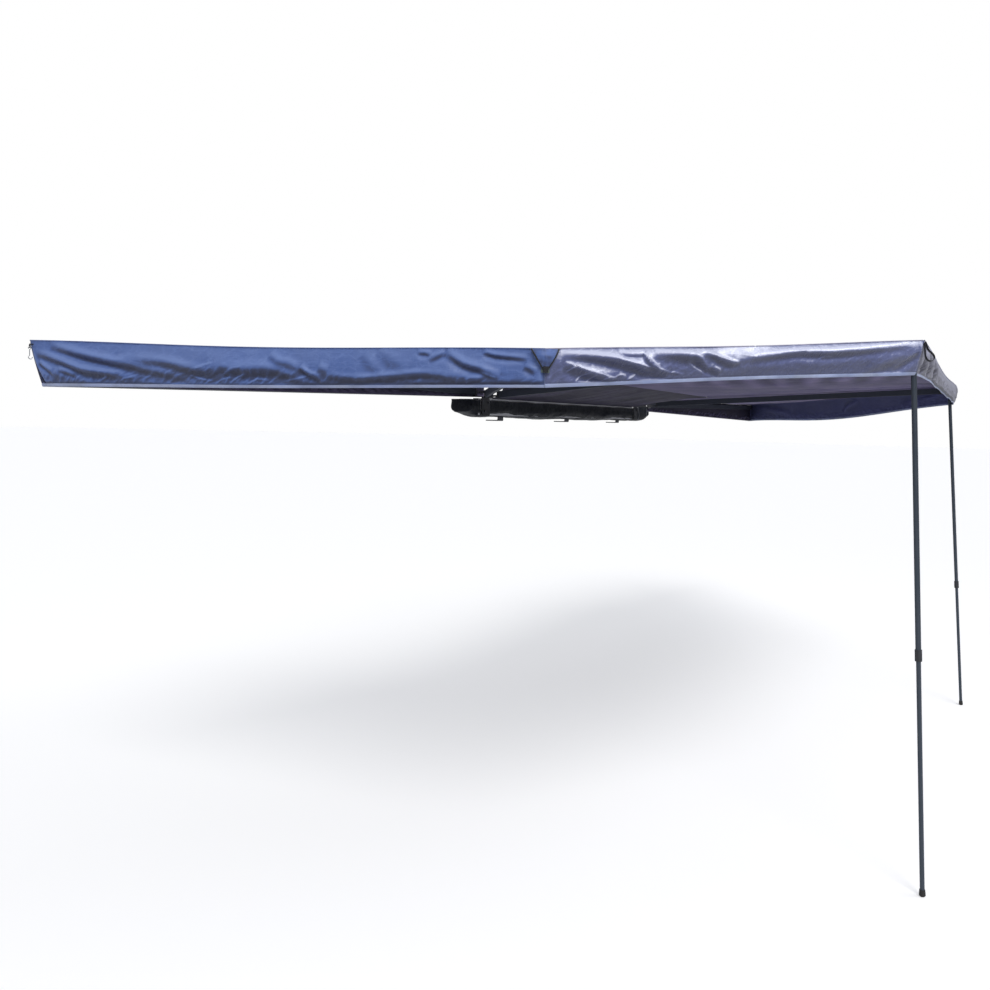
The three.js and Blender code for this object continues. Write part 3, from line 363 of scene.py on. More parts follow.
def make_wear():
    """Dust that lies in patches, and scratches that run along a piece."""
    group = new_group("wear", [("Vector", "NodeSocketVector", (0, 0, 0)), ("Scale", "NodeSocketFloat", 8.0)],
                      [(label, "NodeSocketFloat") for label in ("Dust", "Scratch", "Grain")])
    t = inside(group)
    vector, scale = t.input.outputs["Vector"], t.input.outputs["Scale"]
    dust = t.ramp(t.noise(vector, scale, 6.0, 0.6), (0.42, 0.0), (0.68, 1.0))
    long_marks = t.stretched(vector, (0.06, 1.0, 1.0), (0, 0, 6))
    marks = t.ramp(t.noise(long_marks, t.math("MULTIPLY", scale, 26.0), 2.0, 0.5), (0.62, 0.0), (0.72, 1.0))
    t.link(dust, t.output.inputs["Dust"])
    t.link(marks, t.output.inputs["Scratch"])
    t.link(t.noise(vector, t.math("MULTIPLY", scale, 90.0), 3.0, 0.7), t.output.inputs["Grain"])
    return group


WEAVE, CRINKLE, WEAR = make_weave(), make_crinkle(), make_wear()


def material(name, colour, roughness=0.5, metallic=0.0, **sockets):
    made = bpy.data.materials.new(name)
    made.use_nodes = True
    made.diffuse_color = colour
    t = Tree(made.node_tree)
    t.shader = made.node_tree.nodes["Principled BSDF"]
    sockets.update({"Base Color": colour, "Roughness": roughness, "Metallic": metallic})
    for key, value in sockets.items():
        t.shader.inputs[key.replace("_", " ")].default_value = value
    return made, t


def use(t, group, **values):
    made = t.node("Group", node_tree=group)
    for key, value in values.items():
        t.feed(made.inputs[key], value)
    return made.outputs


def uv_of(t):
    return t.node("UVMap", uv_map="cloth").outputs[0]


def place_of(t):
    return t.node("TexCoord").outputs["Object"]


# Materials of the cloth


def cloth_material(name, tones, roughness=0.42, crinkle=0.0022, scale=7.0, coat=0.0, dust=0.10, shine=0.5,
                   sheen=0.12, lines=0.10):
    """Coated polyester. tones go from a painted highlight, over two plain ones, to a painted shade for hollows:
    the mesh's own shade attribute, which paints light and shade, chooses. The cloth UV is in metres: U along
    the piece,
    V down from its top edge."""
    made, t = material(name, tones[1], roughness, 0.0, Sheen_Weight=sheen, Sheen_Roughness=0.4,
                       Coat_Weight=coat, Coat_Roughness=0.25, Specular_IOR_Level=shine)
    uv = uv_of(t)
    folds = use(t, CRINKLE, Vector=uv, Scale=scale)
    small = use(t, CRINKLE, Vector=uv, Scale=scale * 3.4)
    threads = use(t, WEAVE, Vector=uv, Threads=420.0)
    wear = use(t, WEAR, Vector=uv, Scale=2.3)
    shade = t.node("Attribute", attribute_name="shade").outputs["Fac"]
    patchy = t.math("MULTIPLY_ADD", t.noise(uv, 3.0, 4.0, 0.6), 0.24, -0.12)
    # the sharpest crinkle lines are lifted towards the pale tone: a painted highlight along them, as strong as
    # lines says
    level = t.math("ADD", t.math("ADD", shade, patchy), t.math("MULTIPLY", small["Line"], -lines))
    tone = t.ramp(level, (0.0, tones[0]), (0.34, tones[1]), (0.62, tones[2]), (1.0, tones[3]))
    tone = t.mix(t.math("MULTIPLY", wear["Dust"], dust), tone, rgb(132, 134, 136))
    t.link(tone, t.shader.inputs["Base Color"])
    t.link(t.span(folds["Fold"], 0.2, 1.2, roughness + 0.08, roughness - 0.08), t.shader.inputs["Roughness"])
    first = t.bump(folds["Fold"], 0.55, crinkle)
    second = t.bump(small["Fold"], 0.5, crinkle * (0.15 + 2 * lines), first)
    t.link(t.bump(threads["Height"], 0.12, 0.0002, second), t.shader.inputs["Normal"])
    return made


M = {
    "outer": cloth_material("cloth_blue", [rgb(114, 138, 196), rgb(86, 111, 172), rgb(66, 80, 122),
                                           rgb(48, 53, 80)], 0.46, 0.0026, lines=0.24),
    # front side valance: the blue cloth made glossier, its near-white first tone a painted glint
    "satin_painted_glints": cloth_material("cloth_satin_painted_glints", [rgb(212, 216, 240), rgb(104, 112, 158), rgb(82, 88, 124),
                                            rgb(60, 64, 96)], 0.30, 0.0030, 9.0, 0.45, lines=0.24),
    # side valance: the blue cloth given grey tones that paint the pale light it shows there
    "grey": cloth_material("cloth_grey_painted_light", [rgb(158, 160, 178), rgb(128, 128, 142), rgb(104, 104, 118),
                                          rgb(62, 62, 76)], 0.5, 0.0030, 11.0),
    # roof underside: tones lifted above the cloth's own to paint the light coming through it
    "under": cloth_material("cloth_under", [rgb(128, 120, 162), rgb(104, 96, 134), rgb(84, 78, 112),
                                            rgb(54, 51, 78)], 0.6, 0.0014, 5.0, shine=0.12, sheen=0.0),
    # valance insides: tones lifted in the same way to paint the light coming through the cloth
    "navy": cloth_material("cloth_navy", [rgb(112, 116, 160), rgb(88, 92, 134), rgb(72, 76, 112),
                                          rgb(42, 44, 70)], 0.6, 0.0018, 7.0, shine=0.15, sheen=0.0),
    "roof": cloth_material("cloth_roof", [rgb(116, 136, 192), rgb(90, 110, 166), rgb(74, 92, 146),
                                          rgb(52, 62, 104)], 0.45, 0.0018, 5.0),
    "inner": cloth_material("cloth_inner", [rgb(104, 97, 126), rgb(54, 50, 70), rgb(36, 34, 48),
                                            rgb(18, 17, 25)], 0.65, 0.0016, shine=0.15, sheen=0.0),
}


def hem_material():
    made, t = material("hem_tape", rgb(166, 180, 220), 0.45, 0.0, Sheen_Weight=0.2)
    uv = uv_of(t)
    ribs = t.wave(uv, 160.0, "X")
    wear = use(t, WEAR, Vector=uv, Scale=5.0)
    folds = use(t, CRINKLE, Vector=uv, Scale=16.0)
    tone = t.mix(t.span(t.noise(uv, 6.0, 4.0), 0.35, 0.7), rgb(142, 156, 198), rgb(182, 194, 228))
    tone = t.mix(t.math("MULTIPLY", wear["Dust"], 0.5), tone, rgb(132, 134, 138))
    t.link(tone, t.shader.inputs["Base Color"])
    t.link(t.bump(ribs, 0.25, 0.0003, t.bump(folds["Fold"], 0.4, 0.0012)), t.shader.inputs["Normal"])
    return made


M["hem"] = hem_material()


def coated_bag():
    """Black coated cloth, with a speckled paler grey band below its rim."""
    made, t = material("bag_cloth", rgb(14, 18, 27), 0.55, 0.0, Specular_IOR_Level=0.15)
    place = place_of(t)
    folds = use(t, CRINKLE, Vector=place, Scale=9.0)
    wear = use(t, WEAR, Vector=place, Scale=7.0)
    grain = t.voronoi(place, 620.0)
    pale_band = t.node("Attribute", attribute_name="shade").outputs["Fac"]
    specks = t.ramp(t.noise(place, 34.0, 5.0, 0.7), (0.40, 0.0), (0.66, 1.0))
    tone = t.mix(t.math("MULTIPLY", wear["Dust"], 0.12), rgb(13, 17, 26), rgb(58, 61, 66))
    pale_mix = t.math("MULTIPLY", t.math("MULTIPLY", pale_band, specks), 0.75, clamp=True)
    tone = t.mix(pale_mix, tone, rgb(62, 65, 66))
    t.link(tone, t.shader.inputs["Base Color"])
    t.link(t.span(pale_band, 0.0, 1.0, 0.38, 0.8), t.shader.inputs["Roughness"])
    first = t.bump(folds["Fold"], 0.6, 0.0035)
    t.link(t.bump(grain, 0.35, 0.0004, first), t.shader.inputs["Normal"])
    return made


M["bag"] = coated_bag()


def ribbed_webbing(name, colour, lighter):
    made, t = material(name, colour, 0.75, 0.0, Sheen_Weight=0.3)
    uv = uv_of(t)
    ribs = t.wave(uv, 210.0, "X")
    edge = t.wave(uv, 130.0, "Y")
    both = t.math("MULTIPLY", ribs, edge)
    t.link(t.mix(both, colour, lighter), t.shader.inputs["Base Color"])
    t.link(t.bump(both, 0.5, 0.0004), t.shader.inputs["Normal"])
    return made


M["webbing"] = ribbed_webbing("webbing_black", rgb(20, 21, 26), rgb(46, 48, 54))
M["binding"] = ribbed_webbing("binding_black", rgb(16, 18, 24), rgb(40, 42, 50))
M["piping"] = ribbed_webbing("piping_grey", rgb(120, 122, 128), rgb(160, 162, 168))
# the seam cord along the front side and side valances: a pale copy of the blue cord's colour, a painted glint
M["seam_pale_painted_glint"] = ribbed_webbing("seam_pale_painted_glint", rgb(168, 166, 190), rgb(200, 198, 216))
M["seam_blue"] = ribbed_webbing("seam_blue", rgb(88, 110, 166), rgb(104, 126, 182))

# Materials of the hard parts


def hard(name, colour, worn, roughness, metallic, grain, scratch, dust, **sockets):
    made, t = material(name, colour, roughness, metallic, **sockets)
    place = place_of(t)
    wear = use(t, WEAR, Vector=place, Scale=6.0)
    edge = t.node("NewGeometry").outputs["Pointiness"]
    rim = t.ramp(edge, (0.52, 0.0), (0.60, 1.0))
    tone = t.mix(t.math("MULTIPLY", wear["Dust"], dust), colour, rgb(120, 118, 112))
    tone = t.mix(t.math("MULTIPLY", wear["Scratch"], scratch), tone, worn)
    tone = t.mix(t.math("MULTIPLY", rim, 0.5), tone, worn)
    t.link(tone, t.shader.inputs["Base Color"])
    t.link(t.span(wear["Dust"], 0.0, 1.0, roughness, min(roughness + 0.18, 1.0)), t.shader.inputs["Roughness"])
    t.link(t.bump(wear["Grain"], grain, 0.0003), t.shader.inputs["Normal"])
    return made


M["rail"] = hard("rail_aluminium", rgb(178, 179, 182), rgb(214, 215, 218), 0.42, 0.35, 0.1, 0.35, 0.12)
M["arm"] = hard("arm_aluminium", rgb(18, 20, 29), rgb(84, 90, 102), 0.5, 0.0, 0.3, 0.12, 0.06,
                Specular_IOR_Level=0.2)
M["pole"] = hard("pole_aluminium", rgb(36, 44, 56), rgb(104, 114, 126), 0.36, 0.5, 0.12, 0.2, 0.08)
M["steel"] = hard("black_steel", rgb(22, 24, 31), rgb(96, 98, 104), 0.46, 0.3, 0.4, 0.12, 0.16)
M["zinc"] = hard("zinc_steel", rgb(150, 152, 154), rgb(214, 216, 216), 0.32, 0.95, 0.2, 0.3, 0.2)
M["plastic"] = hard("black_plastic", rgb(24, 26, 31), rgb(80, 82, 88), 0.5, 0.0, 0.4, 0.12, 0.16)
M["rubber"] = hard("black_rubber", rgb(24, 25, 27), rgb(66, 66, 66), 0.82, 0.0, 0.5, 0.05, 0.4)
M["buckle"] = hard("grey_plastic", rgb(62, 78, 78), rgb(120, 134, 132), 0.45, 0.0, 0.3, 0.15, 0.25)

FINISH = {
    "base_rail": "rail", "rail_cap": "plastic", "rack_bracket": "steel", "bracket_bolt": "zinc",
    "hub_bracket": "steel", "hub_pin": "zinc", "hub_spacer": "plastic", "arm_root": "steel", "arm_tube": "arm",
    "arm_tip": "plastic", "pole_pin": "zinc", "pole_upper": "pole", "pole_lower": "pole",
    "pole_collar": "plastic", "pole_foot": "rubber", "tip_hook": "zinc", "flap_buckle": "buckle",
}
for node_name, node_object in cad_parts.items():
    for start, finish in FINISH.items():
        if node_name.startswith(start):
            node_object.data.materials.clear()
            node_object.data.materials.append(M[finish])

# Making meshes

PLAIN_SHADE = 0.42  # the shade attribute of cloth with neither painted highlight nor painted shade


def link(obj):
    bpy.context.scene.collection.objects.link(obj)
    return obj


def mesh_object(name, points, faces, materials, indices=None, uvs=None, normals=None, shade=None):
    """uvs, normals and shade are per point."""
    mesh = bpy.data.meshes.new(name)
    mesh.from_pydata([tuple(p) for p in points], [], [tuple(int(i) for i in f) for f in faces])
    for m in materials:
        mesh.materials.append(m)
    if indices is not None:
        mesh.polygons.foreach_set("material_index", np.asarray(indices, np.int32))
    mesh.polygons.foreach_set("use_smooth", np.full(len(faces), True))
    if uvs is not None:
        layer = mesh.uv_layers.new(name="cloth")
        loops = np.empty(len(mesh.loops), np.int32)
        mesh.loops.foreach_get("vertex_index", loops)
        layer.data.foreach_set("uv", np.asarray(uvs, np.float32)[loops].ravel())
    values = np.full(len(points), PLAIN_SHADE) if shade is None else np.asarray(shade, float).ravel()
    mesh.attributes.new("shade", "FLOAT", "POINT").data.foreach_set("value", values.astype(np.float32))
    mesh.update()
    if normals is not None:
        mesh.normals_split_custom_set_from_vertices([tuple(n) for n in normals])
    return link(bpy.data.objects.new(name, mesh))


def grid_normals(grid):
    du = np.gradient(grid, axis=1)
    dv = np.gradient(grid, axis=0)
    n = np.cross(du, dv)
    return n / np.maximum(np.linalg.norm(n, axis=2, keepdims=True), 1e-12)


def sheet_mesh(name, outer, inner, uv, materials, columns=None, band=None, flip=False, shade=None):
    """Two layers closed round their edges. outer and inner are rows x columns x 3; columns = (from, to) keeps
    a part of them, and shading stays that of the whole. band(v) gives both layers' material by row."""
    n_out, n_in = grid_normals(outer), -grid_normals(inner)
    if flip:
        n_out, n_in = -n_out, -n_in
    if shade is None:
        shade = np.full(outer.shape[:2], PLAIN_SHADE)
    if columns:
        a, b = columns
        outer, inner, uv, n_out, n_in, shade = (x[:, a:b + 1] for x in (outer, inner, uv, n_out, n_in, shade))
    rows, cols = outer.shape[:2]
    index = np.arange(rows * cols).reshape(rows, cols)
    q = np.stack([index[:-1, :-1], index[:-1, 1:], index[1:, 1:], index[1:, :-1]], -1).reshape(-1, 4)
    row_of = np.repeat(np.arange(rows - 1), cols - 1)
    shift = rows * cols
    rim = []
    for line, forwards in ((index[0], True), (index[-1], False), (index[:, 0], False), (index[:, -1], True)):
        a, b = (line[:-1], line[1:]) if forwards else (line[1:], line[:-1])
        rim.append(np.stack([b, a, a + shift, b + shift], -1))
    rim = np.concatenate(rim)
    faces = np.concatenate([q, q[:, ::-1] + shift, rim])
    if flip:
        faces = faces[:, ::-1]
    out_slots, in_slots = np.zeros(rows - 1, int), np.ones(rows - 1, int)
    if band:
        hem = np.array([band((r + 0.5) / (rows - 1)) for r in range(rows - 1)])
        out_slots[hem], in_slots[hem] = 2, 2
    last = len(materials) - 1
    slots = np.concatenate([out_slots[row_of], in_slots[row_of], np.full(len(rim), last)])
    points = np.concatenate([outer.reshape(-1, 3), inner.reshape(-1, 3)])
    normals = np.concatenate([n_out.reshape(-1, 3), n_in.reshape(-1, 3)])
    # the inner layer gets the painted shade turned round: lit outside is dark inside
    back = np.clip(PLAIN_SHADE + 0.9 * (PLAIN_SHADE - shade), 0, 1)
    return mesh_object(name, points, faces, materials, slots, np.tile(uv.reshape(-1, 2), (2, 1)), normals,
                       np.concatenate([shade.ravel(), back.ravel()]))


def area_of(grid):
    d1 = grid[1:, 1:] - grid[:-1, :-1]
    d2 = grid[1:, :-1] - grid[:-1, 1:]
    return float(np.linalg.norm(np.cross(d1, d2), axis=2).sum() / 2)


def catmull(values, at, closed=False):
    n = len(values)
    i = np.clip(np.floor(at).astype(int), 0, n - 2)
    t = at - i

    def pick(j):
        return values[j % (n - 1)] if closed else values[np.clip(j, 0, n - 1)]

    p0, p1, p2, p3 = pick(i - 1), pick(i), pick(i + 1), pick(i + 2)
    return 0.5 * ((2 * p1) + (p2 - p0) * t + (2 * p0 - 5 * p1 + 4 * p2 - p3) * t ** 2
                  + (3 * p1 - p0 - 3 * p2 + p3) * t ** 3)


def smooth_path(points, refine=8, closed=False):
    source = np.asarray(points, float)
    if closed:
        source = np.concatenate([source, source[:1]])
    at = np.linspace(0, len(source) - 1, (len(source) - 1) * refine + 1)
    at = at[:-1] if closed else at
    return np.stack([catmull(source[:, k], at, closed) for k in range(source.shape[1])], -1)


def directions(path, closed=False):
    ahead = np.roll(path, -1, 0) - np.roll(path, 1, 0) if closed else np.gradient(path, axis=0)
    return ahead / np.maximum(np.linalg.norm(ahead, axis=1, keepdims=True), 1e-12)


def swept(name, path, rings, materials, closed=False, ring_uv=None):
    """Rings of points, one per path point, joined into a tube."""
    count, k = rings.shape[:2]
    run = np.concatenate([[0], np.cumsum(np.linalg.norm(np.diff(path, axis=0), axis=1))])
    ring_uv = np.linspace(0, 0.02, k) if ring_uv is None else ring_uv
    uvs = np.stack([np.repeat(run, k), np.tile(ring_uv, count)], -1)
    i = np.arange(count if closed else count - 1)[:, None]
    j, m = (i + 1) % count, np.arange(k)[None]
    n = (m + 1) % k
    faces = np.stack([i * k + m, i * k + n, j * k + n, j * k + m], -1).reshape(-1, 4).tolist()
    if not closed:
        faces.append(list(range(k))[::-1])
        faces.append([(count - 1) * k + m for m in range(k)])
    return mesh_object(name, rings.reshape(-1, 3), faces, materials, None, uvs)


def tube_mesh(name, path, radius, mat, sides=10, closed=False):
    """A round rod along a path of points."""
    path = np.asarray(path, float)
    ahead = directions(path, closed)
    side = np.cross(ahead, v3(0, 0, 1))
    side[np.linalg.norm(side, axis=1) < 1e-6] = v3(0, 1, 0)
    side /= np.linalg.norm(side, axis=1, keepdims=True)
    top = np.cross(side, ahead)
    angles = np.linspace(0, 2 * math.pi, sides, endpoint=False)
    ring = side[:, None] * np.cos(angles)[None, :, None] + top[:, None] * np.sin(angles)[None, :, None]
    return swept(name, path, path[:, None] + ring * radius, [mat], closed)


RIBBON = [(-1, 0.35), (-0.85, 1), (0.85, 1), (1, 0.35), (1, -0.35), (0.85, -1), (-0.85, -1), (-1, -0.35)]


def ribbon(name, path, across, half, thick, mat, closed=False, refine=6):
    """A flat strap: a path, the direction of its width, half its width and its thickness."""
    path = smooth_path(path, refine, closed)
    ahead = directions(path, closed)
    wide = np.broadcast_to(np.asarray(across, float), path.shape)
    wide = wide - ahead * (wide * ahead).sum(1, keepdims=True)
    wide /= np.linalg.norm(wide, axis=1, keepdims=True)
    face = np.cross(ahead, wide)
    ring = np.stack([wide * x * half + face * y * thick / 2 for x, y in RIBBON], 1)
    return swept(name, path, path[:, None] + ring, [mat], closed, np.array([(x + 1) * half for x, _ in RIBBON]))


# The roof

SEAM_RADIUS = 0.0017

SEAM = {name: seam_over(name) for name in ARMS}
FRONT_EDGE, REAR_EDGE = free_edge("front", -1), free_edge("rear", 1)
SIDE = {name: seam_beyond(name) for name in ("side_front", "side_rear")}
CAD_LIFT = 0.0012  # the roof's outer layer lies on top of the CAD sheet's
FAN_RISE = 0.0085  # height of the tension folds that fan out from the outer corners
FOLD_SHADE, SHORT_SHADE = 34, 20  # how strongly the long and the short folds change the shade


def roof_grid(line_a, line_b, rows, cols, seed, edge_sag, tight=0.0):
    (a0, a1), (b0, b1) = line_a, line_b
    across, out = np.meshgrid(np.linspace(0, 1, cols), np.linspace(0, 1, rows))
    start = a0 + (a1 - a0) * out[..., None]
    end = b0 + (b1 - b0) * out[..., None]
    width = np.linalg.norm(end - start, axis=2)
    gap = SEAM_GAP / 2 / width
    share = gap + across * (1 - 2 * gap)
    grid = start + (end - start) * share[..., None]
    dip = np.sin(np.pi * across) ** 2
    grid[..., 2] -= (edge_sag * out ** 2 + ROOF_SAG * np.sin(np.pi * out)) * dip
    length = np.linalg.norm(a1 - a0)
    u, v = (across - 0.5) * width, out * length
    # long tension folds that fan out from the outer corners
    folds = np.zeros_like(u)
    for corner in (0.0, 1.0):
        angle = np.arctan2((1 - out) * length, np.abs(across - corner) * width + 1e-6)
        far = np.hypot((1 - out) * length, (across - corner) * width)
        wave = np.sin(angle * 15 + 1.8 * fbm(u * 1.2, v * 1.2, seed + 3) + seed)
        folds += wave * smooth(far, 0.14, 0.45) * (1 - smooth(far, 0.6, 1.6)) * FAN_RISE
    # shorter folds side by side near one corner, each of them nearly level with the rail
    near = np.hypot((1 - out) * length, (1 - across) * width)
    narrow = np.sin(36 * grid[..., 1] - 8 * grid[..., 0] + 1.6 * fbm(u * 1.6, v * 1.6, seed + 13))
    short = smooth(near, 0.08, 0.20) * (1 - smooth(near, 1.0, 1.9))
    folds += narrow * short * tight
    folds += 0.008 * fbm(u * 1.5, v * 1.1, seed) + 0.0022 * noise(u * 9, v * 2.5, seed + 5)
    folds += 0.003 * creases(u * 2.2 + v * 1.1, v * 0.9 - u * 0.5, seed + 9, 2.5)
    calm = np.clip(np.sin(np.pi * np.clip(across, 0, 1)) * 3.2, 0, 1) * smooth(out, 0.02, 0.12)
    calm = calm * (1 - smooth(out, 0.84, 1.0))
    grid[..., 2] += folds * calm
    # painted shade and painted light that follow the folds' height, more on the short folds near the side
    # panel's corner
    darker = -folds * FOLD_SHADE - SHORT_SHADE * tight * short * (1 + 2 * narrow)
    return grid, np.stack([u, v], -1), PLAIN_SHADE + np.clip(darker, -0.42, 0.40)


def lowered(grid, thick=CLOTH):
    inner = grid.copy()
    inner[..., 2] -= thick
    return inner


GATHER_PLANE = 0.0122  # how far beside its arm's centre line squash_on puts the unused point where a cloth would gather


def squash_on(obj, arm, side):
    """Gives a cloth piece its own copy of its mesh; the point beside its arm where it would gather is worked
    out but not used.
    """
    anchor = arm_centre(arm, 0.5, side * GATHER_PLANE)
    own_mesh(obj)


def put_roof(node, line_a, line_b, arm_a, arm_b, joints, seed, edge_sag, rows=64, cols=97, tight=0.0):
    """A roof panel in two halves, each attached to its own arm. arm_a is beside line_a."""
    grid, uv, shade = roof_grid(line_a, line_b, rows, cols, seed, edge_sag, tight)
    grid[..., 2] += CAD_LIFT
    cut = (cols - 1) // 2
    up = grid_normals(grid)[rows // 2, cols // 2, 2] > 0
    for part, arm, joint, span in (("a", arm_a, joints[0], (0, cut)), ("b", arm_b, joints[1], (cut, cols - 1))):
        obj = sheet_mesh(f"{node}_{part}", grid, lowered(grid), uv, [M["roof"], M["under"], M["roof"]], span,
                         flip=not up, shade=shade)
        piece = grid[:, span[0]:span[1] + 1]
        side = 1 if np.dot(piece.mean((0, 1)) - on_arm(arm, 0, 0, 0), arm_way(arm)[1]) > 0 else -1
        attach(obj, "arm_" + arm)
        squash_on(obj, arm, side)
        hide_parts(node)
    return grid


put_roof("canopy_front", SEAM["front_corner"], FRONT_EDGE, "front_corner", "front",
         ("front_edge_follow", "front_edge_follow"), 1, EDGE_SAG["front"])
put_roof("canopy_front_side", SEAM["side_front"], SEAM["front_corner"], "side_front", "front_corner",
         ("front_corner_follow", "front_corner_follow"), 2, EDGE_SAG["front_side"])
side_grid = put_roof("canopy_side", SIDE["side_rear"], SIDE["side_front"], "side_rear", "side_front",
                     ("rear_fold", "front_fold"), 3, EDGE_SAG["side"], rows=60, cols=121, tight=0.007)
put_roof("canopy_rear", REAR_EDGE, SEAM["side_rear"], "rear", "side_rear",
         ("rear_edge_follow", "rear_edge_follow"), 4, EDGE_SAG["rear"])


STRIP_CLEAR = ((0.215, 0.290), (0.135, 0.225))  # distances from the rail over which its sides reach the seams
STRIP_EASE = 0.18
STRIP_REAR, STRIP_FRONT = 1.15, -1.12  # where the strip starts and ends along the rail
STRIP_LINE = (-0.0663, 0.1253)  # the line on the rail that it is sewn to: across and up
STRIP_FLAT, STRIP_DEEP = 1.30, 0.6  # the width of a half laid flat, and the strip's depth


def put_inner_strip():
    """The dark lining between the rail and the side panel, pleated where it is sewn to the rail."""
    rows, cols = 30, 241
    across, out = np.meshgrid(np.linspace(0, 1, cols), np.linspace(0, 1, rows))
    rail_a, rail_b = v3(STRIP_REAR, *STRIP_LINE), v3(STRIP_FRONT, *STRIP_LINE)
    near = rail_a + (rail_b - rail_a) * across[..., None]
    edge = np.linspace(0, 1, side_grid.shape[1])
    far = np.stack([np.interp(across[0], edge, side_grid[0, :, k]) for k in range(3)], -1)
    far = np.broadcast_to(far[None], (rows, cols, 3)).copy()
    far[..., 1] += SEAM_GAP
    grid = near + (far - near) * out[..., None]
    for column, arm, clear in ((0, "side_rear", STRIP_CLEAR[0]), (cols - 1, "side_front", STRIP_CLEAR[1])):
        seam_start, seam_end = SEAM[arm]
        line = grid[:, column].copy()
        along = (line[:, 1] - seam_start[1]) / (seam_end[1] - seam_start[1])
        seam = seam_start + (seam_end - seam_start) * along[:, None]
        seam[:, 2] -= CLOTH
        move = (seam - line) * smooth(-line[:, 1], *clear)[:, None]
        near_edge = 1 - smooth(np.abs(grid[..., 0] - line[:, :1]), 0, STRIP_EASE)
        grid = grid + move[:, None] * near_edge[..., None]
    dip = np.sin(np.pi * across) ** 2
    grid[..., 2] -= STRIP_SAG * np.sin(np.pi * out) * dip
    u, v = grid[..., 0], out * STRIP_DEEP
    calm = np.sin(np.pi * out) ** 0.6 * np.clip(np.sin(np.pi * across) * 4, 0, 1)
    pleats = np.sin(u * 95 + 2.5 * noise(u * 3, v * 2, 47)) * (1 - smooth(out, 0.25, 0.8)) * 0.0022
    bumps = 0.006 * fbm(u * 3.0, v * 1.8, 41) + 0.0020 * noise(u * 12, v * 3, 43) + pleats
    grid[..., 2] += calm * bumps
    uv = np.stack([u, v], -1)
    # painted light and painted shade that follow the bumps and pleats
    shade = PLAIN_SHADE - calm * np.clip(bumps * 40, -0.3, 0.3)
    half = (cols - 1) // 2
    for part, joint, span in (("a", "rear_fold", (0, half)), ("b", "front_fold", (half, cols - 1))):
        obj = sheet_mesh(f"canopy_inner_{part}", grid, lowered(grid), uv, [M["inner"], M["inner"]], span,
                         flip=True, shade=shade)
        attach(obj, "base")
        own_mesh(obj)
        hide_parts("canopy_inner")


put_inner_strip()

# Folds and sharp creases of the valances: a chosen height and half width in metres, then a route.
# A fold stands out above its route and falls in below it. The routes on the front valance and the one beside
# it were read off the enlarged photograph, as pixels of its 990 x 990 frame.

FRONT_FOLDS = {
    "tip_long": (0.0085, 0.010, (52, 347), (85, 356), (125, 364), (195, 377)),
    "tip_second": (0.0070, 0.009, (36, 353.5), (62, 362), (90, 372), (126, 374)),
    "tip_short": (0.0040, 0.006, (37, 362), (44, 368), (52, 373)),
    "tip_low": (0.0035, 0.006, (58, 369), (78, 376)),
    "quarter_falling": (0.0070, 0.011, (120, 359), (165, 362), (205, 370), (225, 373)),
    "quarter_level": (0.0060, 0.012, (212, 366), (250, 368), (282, 369), (303, 377)),
    "middle_steep": (0.0042, 0.009, (273, 352.5), (283, 357), (293, 362.5), (312, 372)),
    "middle_low": (0.0045, 0.006, (304, 365), (314, 371), (326, 377)),
    "middle_short": (0.0025, 0.009, (322, 366), (334, 370)),
    "long_over_hem": (0.0045, 0.007, (330, 373), (362, 378), (400, 375.5), (437, 374.5), (464, 379)),
    "upright_first": (0.0024, 0.012, (366, 352), (376, 364), (388, 374)),
    "upright_second": (0.0024, 0.014, (382, 350), (395, 360), (412, 372)),
    "seam_level": (0.0030, 0.005, (421, 352), (436, 353.5)),
    "seam_rising": (0.0030, 0.006, (432, 360), (450, 352.5)),
    "corner_falling": (0.0065, 0.008, (450, 352), (466, 364), (487, 371), (505, 379)),
    "corner_seam": (0.0042, 0.005, (486, 352.5), (498, 355.5), (533, 359.5)),
    "corner_hem": (0.0028, 0.006, (470, 383), (495, 376)),
    "corner_last": (0.0030, 0.006, (534, 367), (545, 374)),
}
FRONT_CREASES = {
    "quarter_first": (0.0030, 0.004, (200, 367), (209, 362.5), (219, 360)),
    "quarter_second": (0.0030, 0.004, (228, 370.5), (238, 366), (250, 363)),
    "hem_steep": (0.0035, 0.004, (232, 381), (240, 375), (251, 369.5)),
    "hem_bent": (0.0035, 0.004, (238, 383), (252, 380), (262, 375.5), (272, 377)),
    "quarter_low": (0.0030, 0.004, (190, 372), (205, 376), (216, 378)),
    "hem_short": (0.0030, 0.004, (216, 382), (224, 376), (236, 374)),
    "middle_rising": (0.0028, 0.004, (286, 378), (300, 376), (324, 370)),
    "tip_first": (0.0028, 0.004, (97, 383), (104, 378), (110, 375)),
    "tip_second": (0.0028, 0.004, (120, 381), (128, 377), (137, 375)),
    "corner_low": (0.0028, 0.004, (484, 371), (494, 376), (502, 378)),
}
CORNER_FOLDS = {
    "corner_long": (0.0080, 0.009, (559, 357), (588, 358), (618, 363), (650, 371), (668, 373)),
    "corner_second": (0.0070, 0.009, (562, 366), (588, 375), (616, 382)),
    "seam_short": (0.0040, 0.006, (617, 352.5), (628, 355), (642, 354)),
    "seam_hooked": (0.0045, 0.006, (642, 352), (648, 363), (658, 368)),
    "seam_falling": (0.0060, 0.010, (652, 354), (684, 357), (700, 362)),
    "bend_hooked": (0.0040, 0.006, (704, 352), (716, 358), (730, 363), (738, 361)),
    "bend_steep": (0.0040, 0.006, (690, 354), (698, 362), (708, 370)),
    "bend_low": (0.0032, 0.006, (706, 366), (720, 373)),
    "long_under_seam": (0.0060, 0.008, (732, 360), (764, 356), (796, 352.5), (830, 353), (862, 351),
                        (912, 345.5)),
    "side_first": (0.0040, 0.013, (868, 372), (885, 366), (902, 360), (918, 352)),
    "side_second": (0.0035, 0.009, (893, 371), (908, 362), (920, 352)),
}
